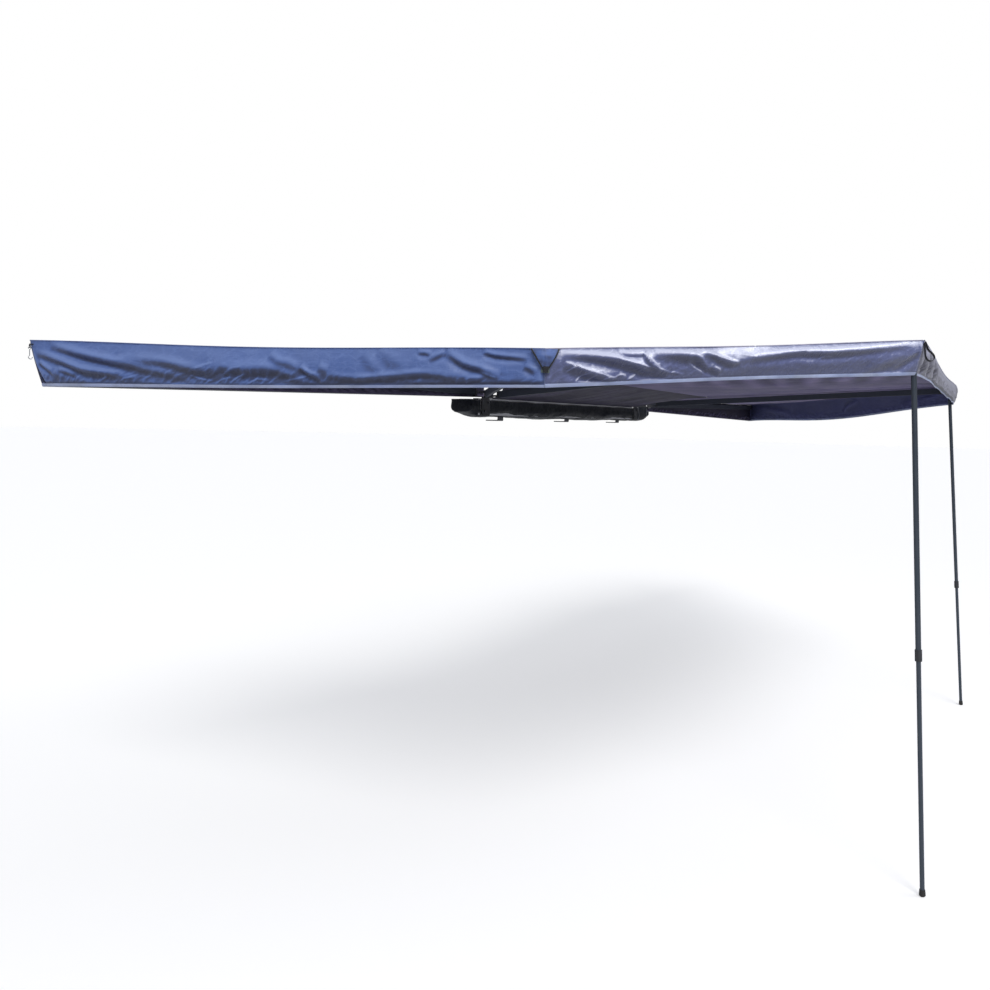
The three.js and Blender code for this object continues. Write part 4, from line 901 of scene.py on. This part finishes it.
CORNER_CREASES = {
    "corner_long": (0.0045, 0.004, (562, 361), (586, 371), (612, 378)),
    "corner_hooked": (0.0035, 0.004, (566, 373), (573, 367), (580, 364)),
    "hem_first": (0.0035, 0.004, (576, 382), (580, 376), (590, 372)),
    "hem_second": (0.0035, 0.004, (586, 382), (596, 375)),
    "hem_third": (0.0035, 0.004, (600, 383), (606, 378), (616, 377)),
    "hem_bent": (0.0030, 0.004, (614, 377), (621, 374), (626, 377)),
    "hem_last": (0.0030, 0.004, (627, 380), (636, 373)),
    "seam_long": (0.0042, 0.004, (612, 357), (638, 364.5), (651, 367)),
    "middle_falling": (0.0042, 0.004, (648, 363.5), (658, 368), (668, 371.5)),
    "seam_upright": (0.0035, 0.004, (643, 352), (646, 364)),
    "low_bent": (0.0032, 0.004, (668, 373), (672, 371), (684, 373)),
    "bend_long": (0.0045, 0.004, (709, 351.5), (717, 356), (736, 360.5)),
    "bend_steep": (0.0032, 0.004, (686, 361), (696, 367), (706, 373)),
    "bend_short": (0.0030, 0.004, (712, 365), (719, 369)),
    "seam_short": (0.0030, 0.004, (738, 352), (754, 355)),
    "belly_short": (0.0026, 0.004, (816, 358), (822, 355.5), (830, 356)),
    "seam_bent": (0.0026, 0.004, (790, 350), (800, 349), (806, 351)),
}
# Points of the front valance that were moved one by one after the reading: metres along and metres down.
MOVED_BY_HAND = {
    (52, 347): (-0.01, -0.002), (90, 372): (0, -0.001), (205, 370): (-0.04, -0.005),
    (250, 368): (-0.01, 0.002), (282, 369): (-0.01, -0.001), (283, 357): (0, 0.007),
    (293, 362.5): (0.01, 0.001), (437, 374.5): (-0.02, -0.001), (498, 355.5): (0.01, 0.003),
    (534, 367): (-0.02, 0), (545, 374): (-0.01, 0), (97, 383): (0, -0.006),
}


def on_valance(pixel, a, b):
    """Where the view's ray through a pixel meets the upright plane between the roof corners a and b: metres
    along from a and metres down from the top, rounded to the centimetre and the millimetre."""
    x, y = pixel
    middle = IMAGE_SIZE / 2
    ray = np.array(forward + (right * (x - middle) + up * (middle - y)) / FOCAL_PIXELS)
    level = (b - a) * v3(1, 1, 0)
    length = np.linalg.norm(level)
    square = v3(level[1], -level[0], 0)
    point = v3(*EYE) + ray * ((a - v3(*EYE)) @ square) / (ray @ square)
    along = float((point - a) @ level / length)
    down = float(mixed(a[2], b[2], along / length) - point[2])
    move_along, move_down = MOVED_BY_HAND.get(pixel, (0, 0))
    return round(round(along, 3) + move_along, 2), round(down + move_down, 3)


def in_metres(folds, corner_a, corner_b):
    """The named folds with their pixel routes turned into routes on the valance between two arms' corners."""
    a, b = corner_point(corner_a), corner_point(corner_b)
    rows = []
    for height, half, *route in folds.values():
        rows.append((height, half, *(on_valance(pixel, a, b) for pixel in route)))
    return rows


# The folds of the two other valances were chosen in metres along and metres down.

SIDE_FOLDS = [
    (0.0080, 0.020, (0.06, 0.060), (0.12, 0.110)),
    (0.0080, 0.020, (0.22, 0.030), (0.30, 0.100)),
    (0.0070, 0.018, (0.45, 0.020), (0.52, 0.110)),
    (0.0060, 0.018, (2.55, 0.020), (2.70, 0.080)),
]
REAR_FOLDS = [
    (0.0050, 0.014, (0.10, 0.020), (0.30, 0.050), (0.60, 0.080)),
    (0.0040, 0.012, (1.10, 0.020), (1.25, 0.060), (1.30, 0.110)),
    (0.0050, 0.014, (2.10, 0.090), (2.45, 0.050), (2.75, 0.020)),
]


def beside_route(s, w, route):
    """For every point: its distance below the route, negative above it, and the route's share beside it."""
    path = smooth_path(route)
    step = np.diff(path, axis=0)
    rel = np.stack([s, w], -1)[..., None, :] - path[:-1]
    share = np.clip((rel * step).sum(-1) / (step ** 2).sum(-1), 0, 1)
    off = rel - share[..., None] * step
    far = np.hypot(off[..., 0], off[..., 1])
    near = far.argmin(-1)[..., None]
    far, share = np.take_along_axis(far, near, -1)[..., 0], np.take_along_axis(share, near, -1)[..., 0]
    off = np.take_along_axis(off, near[..., None], -2)[..., 0, :]
    ahead = step[near[..., 0]]
    below = np.sign(ahead[..., 0] * off[..., 1] - ahead[..., 1] * off[..., 0])
    return below * far, (near[..., 0] + share) / len(step)


def fold_rise(s, w, folds, shape, gain=1.0, widen=1.0):
    """How far the listed folds move the cloth outwards."""
    rise = np.zeros_like(s)
    for height, half, *route in folds:
        first = min(p[0] for p in route) - 5 * half
        last = max(p[0] for p in route) + 5 * half
        part = slice(*np.searchsorted(s[0], (first, last)))
        if part.start == part.stop:
            continue
        off, along = beside_route(s[:, part], w[:, part], route)
        taper = np.sin(np.pi * np.clip(along, 0, 1)) ** 0.8
        rise[:, part] += height * gain * taper * shape(off / (half * widen))
    return rise


FOLD_GAIN, FOLD_WIDEN, LINE_GAIN = 1.5, 1.5, 1.4


def ledge(x):
    return -x * np.exp(0.5 - 0.5 * x * x)


def thin_ridge(x):
    return np.exp(-np.abs(x) * 1.3)


def blurred(field, times):
    for _ in range(times):
        p = np.pad(field, 1, mode="edge")
        field = (p[1:-1, 1:-1] + p[:-2, 1:-1] + p[2:, 1:-1] + p[1:-1, :-2] + p[1:-1, 2:]) / 5
    return field


CORNER_GAP = 0.0003
TOP_GAP = 0.0003  # the valance's upper edge hangs this far below the roof's
SEAM_OUT = 0.0012  # how far the seam's cord stands out and up from that edge
HEM_PROUD, HEM_ROLL = 0.0007, 0.0012  # how far the hem stands out at its edges, and how much more between
CORNER_TURN = 0.022  # how far the turned end of the front valance goes in


def outward_of(a, b):
    middle = v3((PIN_FRONT[0] + PIN_REAR[0]) / 2, 0, 0)
    out = v3(b[1] - a[1], a[0] - b[0], 0)
    out /= np.linalg.norm(out)
    return out if np.dot(out, a - middle) > 0 else -out


def draw_in(s, length, share, leans):
    """Moves the hem's two ends in towards the hub, and less and less away from the corners."""
    start = np.exp(-s / 0.20) * share ** 1.3
    end = np.exp(-(length - s) / 0.20) * share ** 1.3
    return leans[0] * start[..., None] + leans[1] * end[..., None]


def valance_grids(top, drops, outward, leans, seed, rim=((0, 0.6),), belly=0.012, folds=(), lines=(),
                  small=0.0022, deeper=0.0, billow=0.0, rows=36, turned=0.0, hem=HEM, wave=0.0):
    """top is the upper edge, points in a row. rim is where down the drop the belly stands out most, as pairs
    of metres along and share. Returns the outer and inner layers, the UV, the shade and the length."""
    cols = len(top)
    run = np.concatenate([[0], np.cumsum(np.linalg.norm(np.diff(top, axis=0), axis=1))])
    length = run[-1]
    drop = mixed(drops[0], drops[1], run / length) + deeper * np.sin(np.pi * run / length) ** 2
    uneven = fbm(run * 2.6, run * 0 + seed, seed + 41, 2)
    drop = drop + wave * uneven * smooth(np.minimum(run, length - run), 0, 0.3)
    share = np.linspace(0, 1, rows)[:, None] * np.ones(cols)
    w = share * drop
    s = np.broadcast_to(run, w.shape)
    crest = np.interp(run, *zip(*rim)) + 0.07 * fbm(run * 3.1, run * 0 + seed, seed)
    crest = np.clip(crest, 0.12, 0.9)
    up = np.sin(0.5 * np.pi * np.clip(share / crest, 0, 1))
    down = 1 - smooth((share - crest) / (1 - crest), 0, 1)
    ends = 0.45 + 0.55 * smooth(np.minimum(s, length - s), 0, 0.25)
    out = belly * ends * np.where(share < crest, up, down) + billow * share * np.sin(np.pi * s / length)
    low = smooth(share, crest - 0.04, crest + 0.16)
    warp = 0.02 * fbm(s * 3, w * 6, seed + 2)
    slash = creases((w + 0.62 * s + warp) * 30, (s - 0.62 * w) * 9, seed + 23, 2.0)
    tiny = creases((w + 0.5 * s + warp) * 66, (s - 0.5 * w) * 24, seed + 31, 1.6)
    broad = fbm(s * 4.2, w * 9, seed + 5)
    out = out + small * (slash + 0.45 * tiny) * (0.12 + low) + 0.0012 * broad
    crease = fold_rise(s, w, lines, thin_ridge, LINE_GAIN)
    out = out + fold_rise(s, w, folds, ledge, FOLD_GAIN, FOLD_WIDEN) + crease
    if turned:
        corner = smooth(turned * smooth(share, 0.3, 1.0) - s, -0.004, 0.010)
        out = out - CORNER_TURN * corner
    above_hem = 1 - smooth(w, drop - hem - 0.006, drop - hem)
    sewn = smooth(np.minimum(s, length - s), 0, 0.016)
    steady = (out * above_hem + (1 - above_hem) * blurred(out, 14) * 0.25) * sewn
    # Painted light and shade: darker in hollows, on down-facing flanks, below the crest and on the turned-in
    # corner; paler on up-facing flanks and along the creases.
    hollow = np.clip((blurred(steady, 10) - steady) / 0.0016, -1, 1)
    tilt = np.gradient(steady, axis=0) / np.maximum(np.gradient(w, axis=0), 1e-6)
    shade = PLAIN_SHADE + 0.20 * hollow - 0.55 * np.clip(tilt, -0.8, 0.6) + 0.13 * low
    shade = shade - 70 * crease - 22 * small * slash * low
    if turned:
        shade = shade + 0.7 * corner
    outer = top[None] + outward * steady[..., None] + draw_in(s, length, share, leans)
    outer[..., 2] -= TOP_GAP + w
    # the hem is a rolled band: it stands proud and turns in at its lower edge
    inside_hem = np.clip((w - (drop - hem)) / hem, 0, 1)
    roll = np.sqrt(np.clip(1 - (2 * inside_hem - 1) ** 2, 0, 1))
    proud = np.where(w > drop - hem, HEM_ROLL * roll + HEM_PROUD, 0)
    outer += outward * proud[..., None]
    inner = outer - outward * (CLOTH + 1.3 * proud[..., None])
    return outer, inner, np.stack([s, w], -1), np.clip(shade, 0, 1), length


def lean_of(name):
    return -arm_way(name)[0] * ARMS[name]["lean"]


def declare_valance(obj, grid, width, deep, arm, node):
    area = area_of(grid)
    deep = max(deep, area / width * 1.001)
    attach(obj, "arm_" + arm)
    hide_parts(node)


def put_valance(node, line_a, line_b, arms, halves, seed, mats, edge_sag, seam, cols, rows, **form):
    """halves: (arm, joint, side of it) beside line_a and beside line_b; the joint is not used."""
    inset = CORNER_GAP / np.linalg.norm(line_a[1] - line_b[1])
    across = mixed(inset, 1 - inset, np.linspace(0, 1, cols))
    top = line_a[1] + (line_b[1] - line_a[1]) * across[:, None]
    top[:, 2] -= edge_sag * np.sin(np.pi * across) ** 2
    outward = outward_of(line_a[1], line_b[1])
    drops = [ARMS[name]["drop"] for name in arms]
    outer, inner, uv, shade, length = valance_grids(top, drops, outward, [lean_of(name) for name in arms], seed,
                                                    rows=rows, **form)
    hem_share = 1 - form.get("hem", HEM) / np.mean(drops)
    flip = np.dot(np.cross(line_b[1] - line_a[1], v3(0, 0, -1)), outward) < 0
    split = (cols - 1) // 2
    seam_path = top + outward * SEAM_OUT + v3(0, 0, SEAM_OUT)
    spans = (0, split), (split, cols - 1)
    for part, (arm, joint, side), (a, b) in zip("ab", halves, spans):
        obj = sheet_mesh(f"{node}_{part}", outer, inner, uv, mats, (a, b), lambda v: v >= hem_share, flip,
                         shade)
        cord = tube_mesh(f"{node}_seam_{part}", seam_path[a:b + 1:3], SEAM_RADIUS, M[seam], 8)
        width = float(uv[0, b, 0] - uv[0, a, 0])
        declare_valance(obj, outer[:, a:b + 1], width, max(drops) * 1.3, arm, node)
        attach(cord, "arm_" + arm)
        squash_on(obj, arm, side)
        squash_on(cord, arm, side)
    return outer


put_valance("valance_front", FRONT_EDGE, SEAM["front_corner"], ("front", "front_corner"),
            (("front", "front_edge_follow", 1), ("front_corner", "front_edge_follow", -1)), 3,
            [M["outer"], M["navy"], M["hem"]], EDGE_SAG["front"], "seam_blue", cols=421, rows=42,
            rim=((0, 0.66), (0.5, 0.60), (0.85, 0.50), (1.15, 0.50), (1.3, 0.62), (1.45, 0.68), (1.75, 0.66),
                 (1.95, 0.78), (2.1, 0.8)),
            belly=0.017, folds=in_metres(FRONT_FOLDS, "front", "front_corner"),
            lines=in_metres(FRONT_CREASES, "front", "front_corner"), deeper=-0.008, turned=0.032)
put_valance("valance_front_side", SEAM["front_corner"], SEAM["side_front"], ("front_corner", "side_front"),
            (("front_corner", "front_corner_follow", 1), ("side_front", "front_corner_follow", -1)), 8,
            [M["satin_painted_glints"], M["navy"], M["hem"]], EDGE_SAG["front_side"], "seam_pale_painted_glint", cols=341, rows=42,
            rim=((0, 0.30), (0.1, 0.24), (0.27, 0.36), (0.38, 0.30), (0.6, 0.22), (0.75, 0.40), (0.9, 0.33),
                 (1.0, 0.28), (1.35, 0.27), (1.6, 0.18)),
            belly=0.019, folds=in_metres(CORNER_FOLDS, "front_corner", "side_front"),
            lines=in_metres(CORNER_CREASES, "front_corner", "side_front"), deeper=-0.012, small=0.0007)
put_valance("valance_side", SEAM["side_front"], SEAM["side_rear"], ("side_front", "side_rear"),
            (("side_front", "front_fold", 1), ("side_rear", "rear_fold", -1)), 14,
            [M["grey"], M["navy"], M["hem"]], EDGE_SAG["side"], "seam_pale_painted_glint", cols=361, rows=34,
            rim=((0, 0.5), (1.4, 0.4), (2.8, 0.5)), belly=0.012, folds=SIDE_FOLDS, small=0.0042, deeper=-0.022,
            billow=0.012, hem=0.007, wave=0.006)
put_valance("valance_rear", SEAM["side_rear"], REAR_EDGE, ("side_rear", "rear"),
            (("side_rear", "rear_edge_follow", 1), ("rear", "rear_edge_follow", -1)), 21,
            [M["outer"], M["navy"], M["hem"]], EDGE_SAG["rear"], "seam_blue", cols=301, rows=34,
            rim=((0, 0.55), (1.4, 0.65), (2.8, 0.5)), belly=0.012, folds=REAR_FOLDS, deeper=0.028)

END_REACH = {"front": 0.075, "rear": 0.020}  # how far past the roof's start each end valance runs to its hub


def put_end_valance(node, line, drops, arm, side, seed, small):
    """The tapering valance along a free edge of the roof."""
    cols, rows = 241, 26
    t = np.linspace(0, 1 - CORNER_GAP / np.linalg.norm(line[1] - line[0]), cols)
    start = line[0] - arm_way(arm)[0] * END_REACH[arm]
    top = start + (line[1] - start) * t[:, None]
    outward = side * arm_way(arm)[1]
    outer, inner, uv, shade, length = valance_grids(top, drops, outward, [v3(0, 0, 0), lean_of(arm)], seed,
                                                    belly=0.007, small=small, rows=rows, hem=END_HEM)
    flip = np.dot(np.cross(line[1] - line[0], v3(0, 0, -1)), outward) < 0
    hem_share = 1 - END_HEM / np.mean(drops)
    obj = sheet_mesh(node + "_cloth", outer, inner, uv, [M["outer"], M["inner"], M["piping"]], None,
                     lambda v: v >= hem_share, flip, shade)
    declare_valance(obj, outer, length, max(drops) * 1.25, arm, node)
    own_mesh(obj)


put_end_valance("valance_front_end", FRONT_EDGE, (END_DROPS["front"], ARMS["front"]["drop"]), "front", -1, 31,
                0.0016)
put_end_valance("valance_rear_end", REAR_EDGE, (END_DROPS["rear"], ARMS["rear"]["drop"]), "rear", 1, 35,
                0.0042)

# Corner flap, loop and bag

FLAP_TOP_HALF, FLAP_LOW_HALF, FLAP_DROP = 0.043, 0.010, 0.060
FLAP_GAP = 0.0095  # the flap's belly stands this far before the valance's fold line
BINDING = 0.0028
FLAP_CLOTH = 0.0014
STRAP_HALF, STRAP_THICK = 0.0085, 0.0012


def put_flap():
    """The V-shaped flap over the front corner, with bound edges and a short strap down to the buckle."""
    arm, name = ARMS["front_corner"], "front_corner"
    ahead, left = arm_way(name)
    along = arm["reach"] + arm["out"]
    top = corner_point(name)[2] + 0.001
    fall = []
    for other in ("front", "side_front"):
        step = corner_point(other) - corner_point(name)
        fall.append(abs(np.dot(step, ahead) / np.dot(step, left)))
    rows, cols = 30, 37
    v, u = np.meshgrid(np.linspace(0, 1, rows), np.linspace(0, 1, cols), indexing="ij")
    across = (2 * u - 1) * mixed(FLAP_TOP_HALF, FLAP_LOW_HALF, v ** 1.15)
    back = np.where(across < 0, -across * fall[0], across * fall[1])
    soften = 0.004 * np.exp(-(across / 0.012) ** 2)
    belly = FLAP_GAP + 0.008 * np.sin(np.pi * v) + 0.006 * v + 0.002 * noise(u * 2.4, v * 2.2, 91)
    reach = along - back - soften + belly
    grid = on_arm(name, 0, arm["offset"], 0) + reach[..., None] * ahead + across[..., None] * left
    grid[..., 2] = top - v * FLAP_DROP
    uv = np.stack([across + FLAP_TOP_HALF, v * FLAP_DROP], -1)
    # darker towards the flap's lower edge, in random patches
    shade = PLAIN_SHADE + 0.25 * v + 0.2 * noise(u * 3, v * 3, 95)
    obj = sheet_mesh("corner_flap_cloth", grid, grid - ahead * FLAP_CLOTH, uv, [M["outer"], M["navy"]],
                     shade=shade)
    pieces = []
    for label, line in (("a", grid[:, 0]), ("b", grid[:, -1])):
        middle = line - ahead * FLAP_CLOTH / 2
        pieces.append(tube_mesh(f"flap_binding_{label}", middle, BINDING, M["binding"], 8))
    low = grid[-1, cols // 2]
    path = [low + v3(0, 0, 0.005) + ahead * 0.0016, low + ahead * 0.0014, low - v3(0, 0, 0.007),
            low - v3(0, 0, 0.014) - ahead * 0.001]
    pieces.append(ribbon("flap_strap", path, left, STRAP_HALF, STRAP_THICK, M["webbing"]))
    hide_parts("corner_flap")
    for piece in [obj] + pieces:
        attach(piece, "arm_front_corner")
        tuple(arm_centre(name, 2.0))
        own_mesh(piece)


put_flap()

# outwards and upwards from the corner, in metres, once round
LOOP_ROUND = [(0.000, 0.000), (0.012, -0.028), (0.034, -0.048), (0.039, -0.064), (0.026, -0.074),
              (0.008, -0.064), (0.001, -0.036)]
LOOP_WAY = v3(0.49, -0.87, 0.0)
LOOP_HALF, LOOP_THICK, LOOP_LENGTH, LOOP_AREA = 0.0065, 0.0016, 0.20, 0.0024


def put_loop():
    """The webbing ring sewn on the side front corner."""
    start = corner_point("side_front") + v3(0, 0, -0.006) + arm_way("side_front")[0] * 0.004
    path = [start + LOOP_WAY * out + v3(0, 0, rise) for out, rise in LOOP_ROUND]
    wide = np.cross(LOOP_WAY, v3(0, 0, 1)) + v3(0, 0, 0.35)
    obj = ribbon("corner_loop_webbing", path, wide, LOOP_HALF, LOOP_THICK, M["webbing"], closed=True,
                 refine=8)
    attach(obj, "arm_side_front")
    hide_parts("corner_loop")


put_loop()

BAG_FRONT, BAG_REAR = -1.35, 1.55
BAG_OUTER, BAG_INNER = -0.0776, 0.0497
BAG_RIM, BAG_FLOOR, BAG_CLOTH = 0.1127, 0.0267, 0.0015
BAG_SQUARE = 3.4  # how square the bag's section is: 2 would be an ellipse
NOTCHES = ((-1.230, -1.130), (1.160, 1.260))  # where the outer wall is cut down for the hubs
NOTCH_RIM, NOTCH_EDGE = 0.032, 0.005
BAG_SAG, BAG_BULGE = 0.013, 0.011
RACK_STEP = 0.93
PALE_BAND_HEIGHT, PALE_BAND_SPREAD = 0.078, 0.018  # the speckled paler band on the outer wall
PIPING = 0.0024


def rounded_end(far, reach, power):
    return (1 - np.clip((reach - far) / reach, 0, 1) ** power) ** (1 / power)


def bag_shape(x, turn):
    """Points of the bag's outer layer. turn is -pi/2 on the outer rim, 0 below and pi/2 on the inner rim."""
    turn = turn[:, None]
    far = np.minimum(x - BAG_FRONT, BAG_REAR - x)
    wide = rounded_end(far, 0.032, 3.2)
    deep = rounded_end(far, 0.022, 4.0) * mixed(0.70, 1.0, smooth(far, 0.0, 0.16))
    loose = 0.55 * (1 - (x / BAG_REAR) ** 2) + 0.45 * np.sin(np.pi * x / RACK_STEP) ** 2
    sag = BAG_SAG * loose + 0.003 * fbm(x * 3, x * 0, 61)
    floor = BAG_RIM - deep * (BAG_RIM - BAG_FLOOR + sag)
    notch = sum(smooth(x, a - NOTCH_EDGE, a) * (1 - smooth(x, b, b + NOTCH_EDGE)) for a, b in NOTCHES)
    outer_rim = mixed(BAG_RIM + 0.0025 * fbm(x * 4, x * 0, 63), NOTCH_RIM, notch)
    rim = np.where(turn < 0, np.maximum(outer_rim, floor + 0.001), BAG_RIM + 0.004 * fbm(x * 3, x * 0, 67))
    sine, cosine = np.sin(turn), np.cos(turn)
    side = np.sign(sine) * np.abs(sine) ** (2 / BAG_SQUARE)
    low = np.clip(np.abs(cosine), 0, 1) ** (2 / BAG_SQUARE)
    sharp = creases(x * 5 + turn * 1.2, turn * 1.1 - x * 3, 73, 2.5)
    folds = 0.0035 * fbm(x * 6, turn * 1.3, 71) + 0.003 * sharp
    round_out = BAG_BULGE * (0.35 + 0.65 * loose) * 2 * np.abs(sine * cosine)
    bulge = (round_out + folds * np.abs(cosine) ** 0.6) * wide
    middle, half = (BAG_OUTER + BAG_INNER) / 2, (BAG_INNER - BAG_OUTER) / 2
    y = middle + half * wide * side + np.sign(sine) * bulge * (1 - notch * (turn < 0))
    z = rim + (floor - rim) * low - folds * low * wide * 0.5
    return np.stack([np.broadcast_to(x, y.shape), y, z], -1)


def bag_stations():
    ends = 0.06 * np.linspace(0, 1, 15) ** 2
    parts = [np.linspace(BAG_FRONT + 0.06, BAG_REAR - 0.06, 230), BAG_FRONT + ends, BAG_REAR - ends]
    for edge in np.ravel(NOTCHES):
        parts.append(edge + np.linspace(-NOTCH_EDGE, NOTCH_EDGE, 9))
    return np.unique(np.concatenate(parts).round(5))


def put_bag():
    """The soft bag that hangs open round the rail, and the piping on its rim."""
    x = bag_stations()
    grid = bag_shape(x, np.linspace(-np.pi / 2, np.pi / 2, 49))
    normal = grid_normals(grid)
    outwards = np.sign((normal[24, 100] * v3(0, 0, -1)).sum())
    inner = grid - normal * outwards * BAG_CLOTH
    uv = np.stack([grid[..., 0], np.broadcast_to(np.linspace(0, 0.3, 49)[:, None], grid.shape[:2])], -1)
    # a speckled paler band round the outer wall's middle height
    band = np.exp(-((grid[..., 2] - PALE_BAND_HEIGHT) / PALE_BAND_SPREAD) ** 2) * (grid[..., 1] < 0)
    pale_band = band * (0.75 + 0.4 * fbm(grid[..., 0] * 3, grid[..., 2] * 8, 77))
    obj = sheet_mesh("bag_cloth_shell", grid, inner, uv, [M["bag"], M["bag"]], flip=outwards < 0,
                     shade=np.clip(pale_band, 0, 1))
    rim = np.concatenate([grid[0], grid[-1][::-1]])
    piping = tube_mesh("bag_piping", rim + v3(0, 0, PIPING / 2), PIPING, M["binding"], 8, closed=True)
    patch = bag_patch()
    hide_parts("bag_floor", "bag_outer_wall", "bag_inner_wall", "bag_end_front", "bag_end_rear")
    for piece in [obj, piping] + patch:
        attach(piece, "base")


PATCH_TOP, PATCH_LOW = (1.268, 1.480), (1.296, 1.462)
TAB_ABOVE, TAB_RISE = 0.35, 0.020  # the share of the tab that stands above the rim, and how high
TAB_OUT, TAB_CLOTH, TAB_PIPING = 0.0030, 0.0014, 0.0022


def bag_patch():
    """A stiffened tab behind the rear hub, sewn on the outer wall, with grey piping round it."""
    rows, cols = 14, 15
    down, over = np.meshgrid(np.linspace(0, 1, rows), np.linspace(0, 1, cols), indexing="ij")
    low_share = np.clip((down[:, 0] - TAB_ABOVE) / (1 - TAB_ABOVE), 0, 1)
    turn = -np.pi / 2 + 0.95 * low_share ** 1.5
    points = np.zeros((rows, cols, 3))
    for row in range(rows):
        left, right = (mixed(a, b, down[row, 0]) for a, b in zip(PATCH_TOP, PATCH_LOW))
        points[row] = bag_shape(np.linspace(left, right, cols), turn[row:row + 1])[0]
    points[..., 1] -= TAB_OUT
    points[..., 2] += TAB_RISE * np.clip(1 - down / TAB_ABOVE, 0, 1)
    uv = np.stack([over * 0.2, down * 0.08], -1)
    # more of the bag's speckled pale band towards the tab's top
    tab = sheet_mesh("bag_tab", points, points + v3(0, TAB_CLOTH, 0), uv, [M["bag"], M["bag"]],
                     shade=0.25 + 0.25 * (1 - down))
    edge = np.concatenate([points[:, 0], points[-1, 1:], points[::-1, -1][1:]])
    return [tab, tube_mesh("bag_tab_piping", edge, TAB_PIPING, M["piping"], 8)]


put_bag()

# Floor and light


FLOOR_GLOW = 0.50  # lifts the floor to a pale tone for the camera only
FLOOR_HALF = 90


def put_floor():
    low = CAD_BOX[0][2]
    corners = [(x * FLOOR_HALF, y * FLOOR_HALF, low) for x, y in ((-1, -1), (1, -1), (1, 1), (-1, 1))]
    made, t = material("floor_paper", rgb(216, 216, 216), 0.9)
    t.shader.inputs["Emission Color"].default_value = (1, 1, 1, 1)
    seen = t.node("LightPath").outputs["Is Camera Ray"]
    t.link(t.math("MULTIPLY", seen, FLOOR_GLOW), t.shader.inputs["Emission Strength"])
    mesh_object("floor", corners, [(0, 1, 2, 3)], [made])


put_floor()


def light_world():
    """White behind the awning; as a light, a pale sky above and dimmer from below."""
    world = bpy.data.worlds.new("studio")
    bpy.context.scene.world = world
    world.use_nodes = True
    t = Tree(world.node_tree)
    background = world.node_tree.nodes["Background"]
    height = t.node("SeparateXYZ")
    t.link(t.node("TexCoord").outputs["Generated"], height.inputs[0])
    sky = t.mix(t.span(height.outputs[2], -0.2, 0.7), (0.23, 0.23, 0.24, 1), (0.38, 0.40, 0.45, 1))
    seen = t.node("LightPath").outputs["Is Camera Ray"]
    t.link(t.mix(seen, sky, (1, 1, 1, 1)), background.inputs["Color"])


light_world()


def lamp_from(name, kind, place, aim, strength, colour=(1, 1, 1)):
    lamp = bpy.data.lights.new(name, kind)
    lamp.energy = strength
    lamp.color = colour
    obj = link(bpy.data.objects.new(name, lamp))
    obj.location = place
    obj.rotation_euler = (Vector(aim) - Vector(place)).to_track_quat("-Z", "Y").to_euler()
    return lamp


SUN_SPREAD = math.radians(25)
sun = lamp_from("key", "SUN", (-5.5, -4.5, 7.0), (0, 0, 0), 1.5, (1.0, 0.985, 0.96))
sun.angle = SUN_SPREAD
glint = lamp_from("glint", "AREA", (-0.2, -5.6, 4.3), (-2.3, -1.83, 0.25), 110, (0.96, 0.97, 1.0))
glint.shape = "RECTANGLE"
glint.size, glint.size_y = 3.0, 1.6
bpy.context.scene.view_settings.view_transform = "Standard"
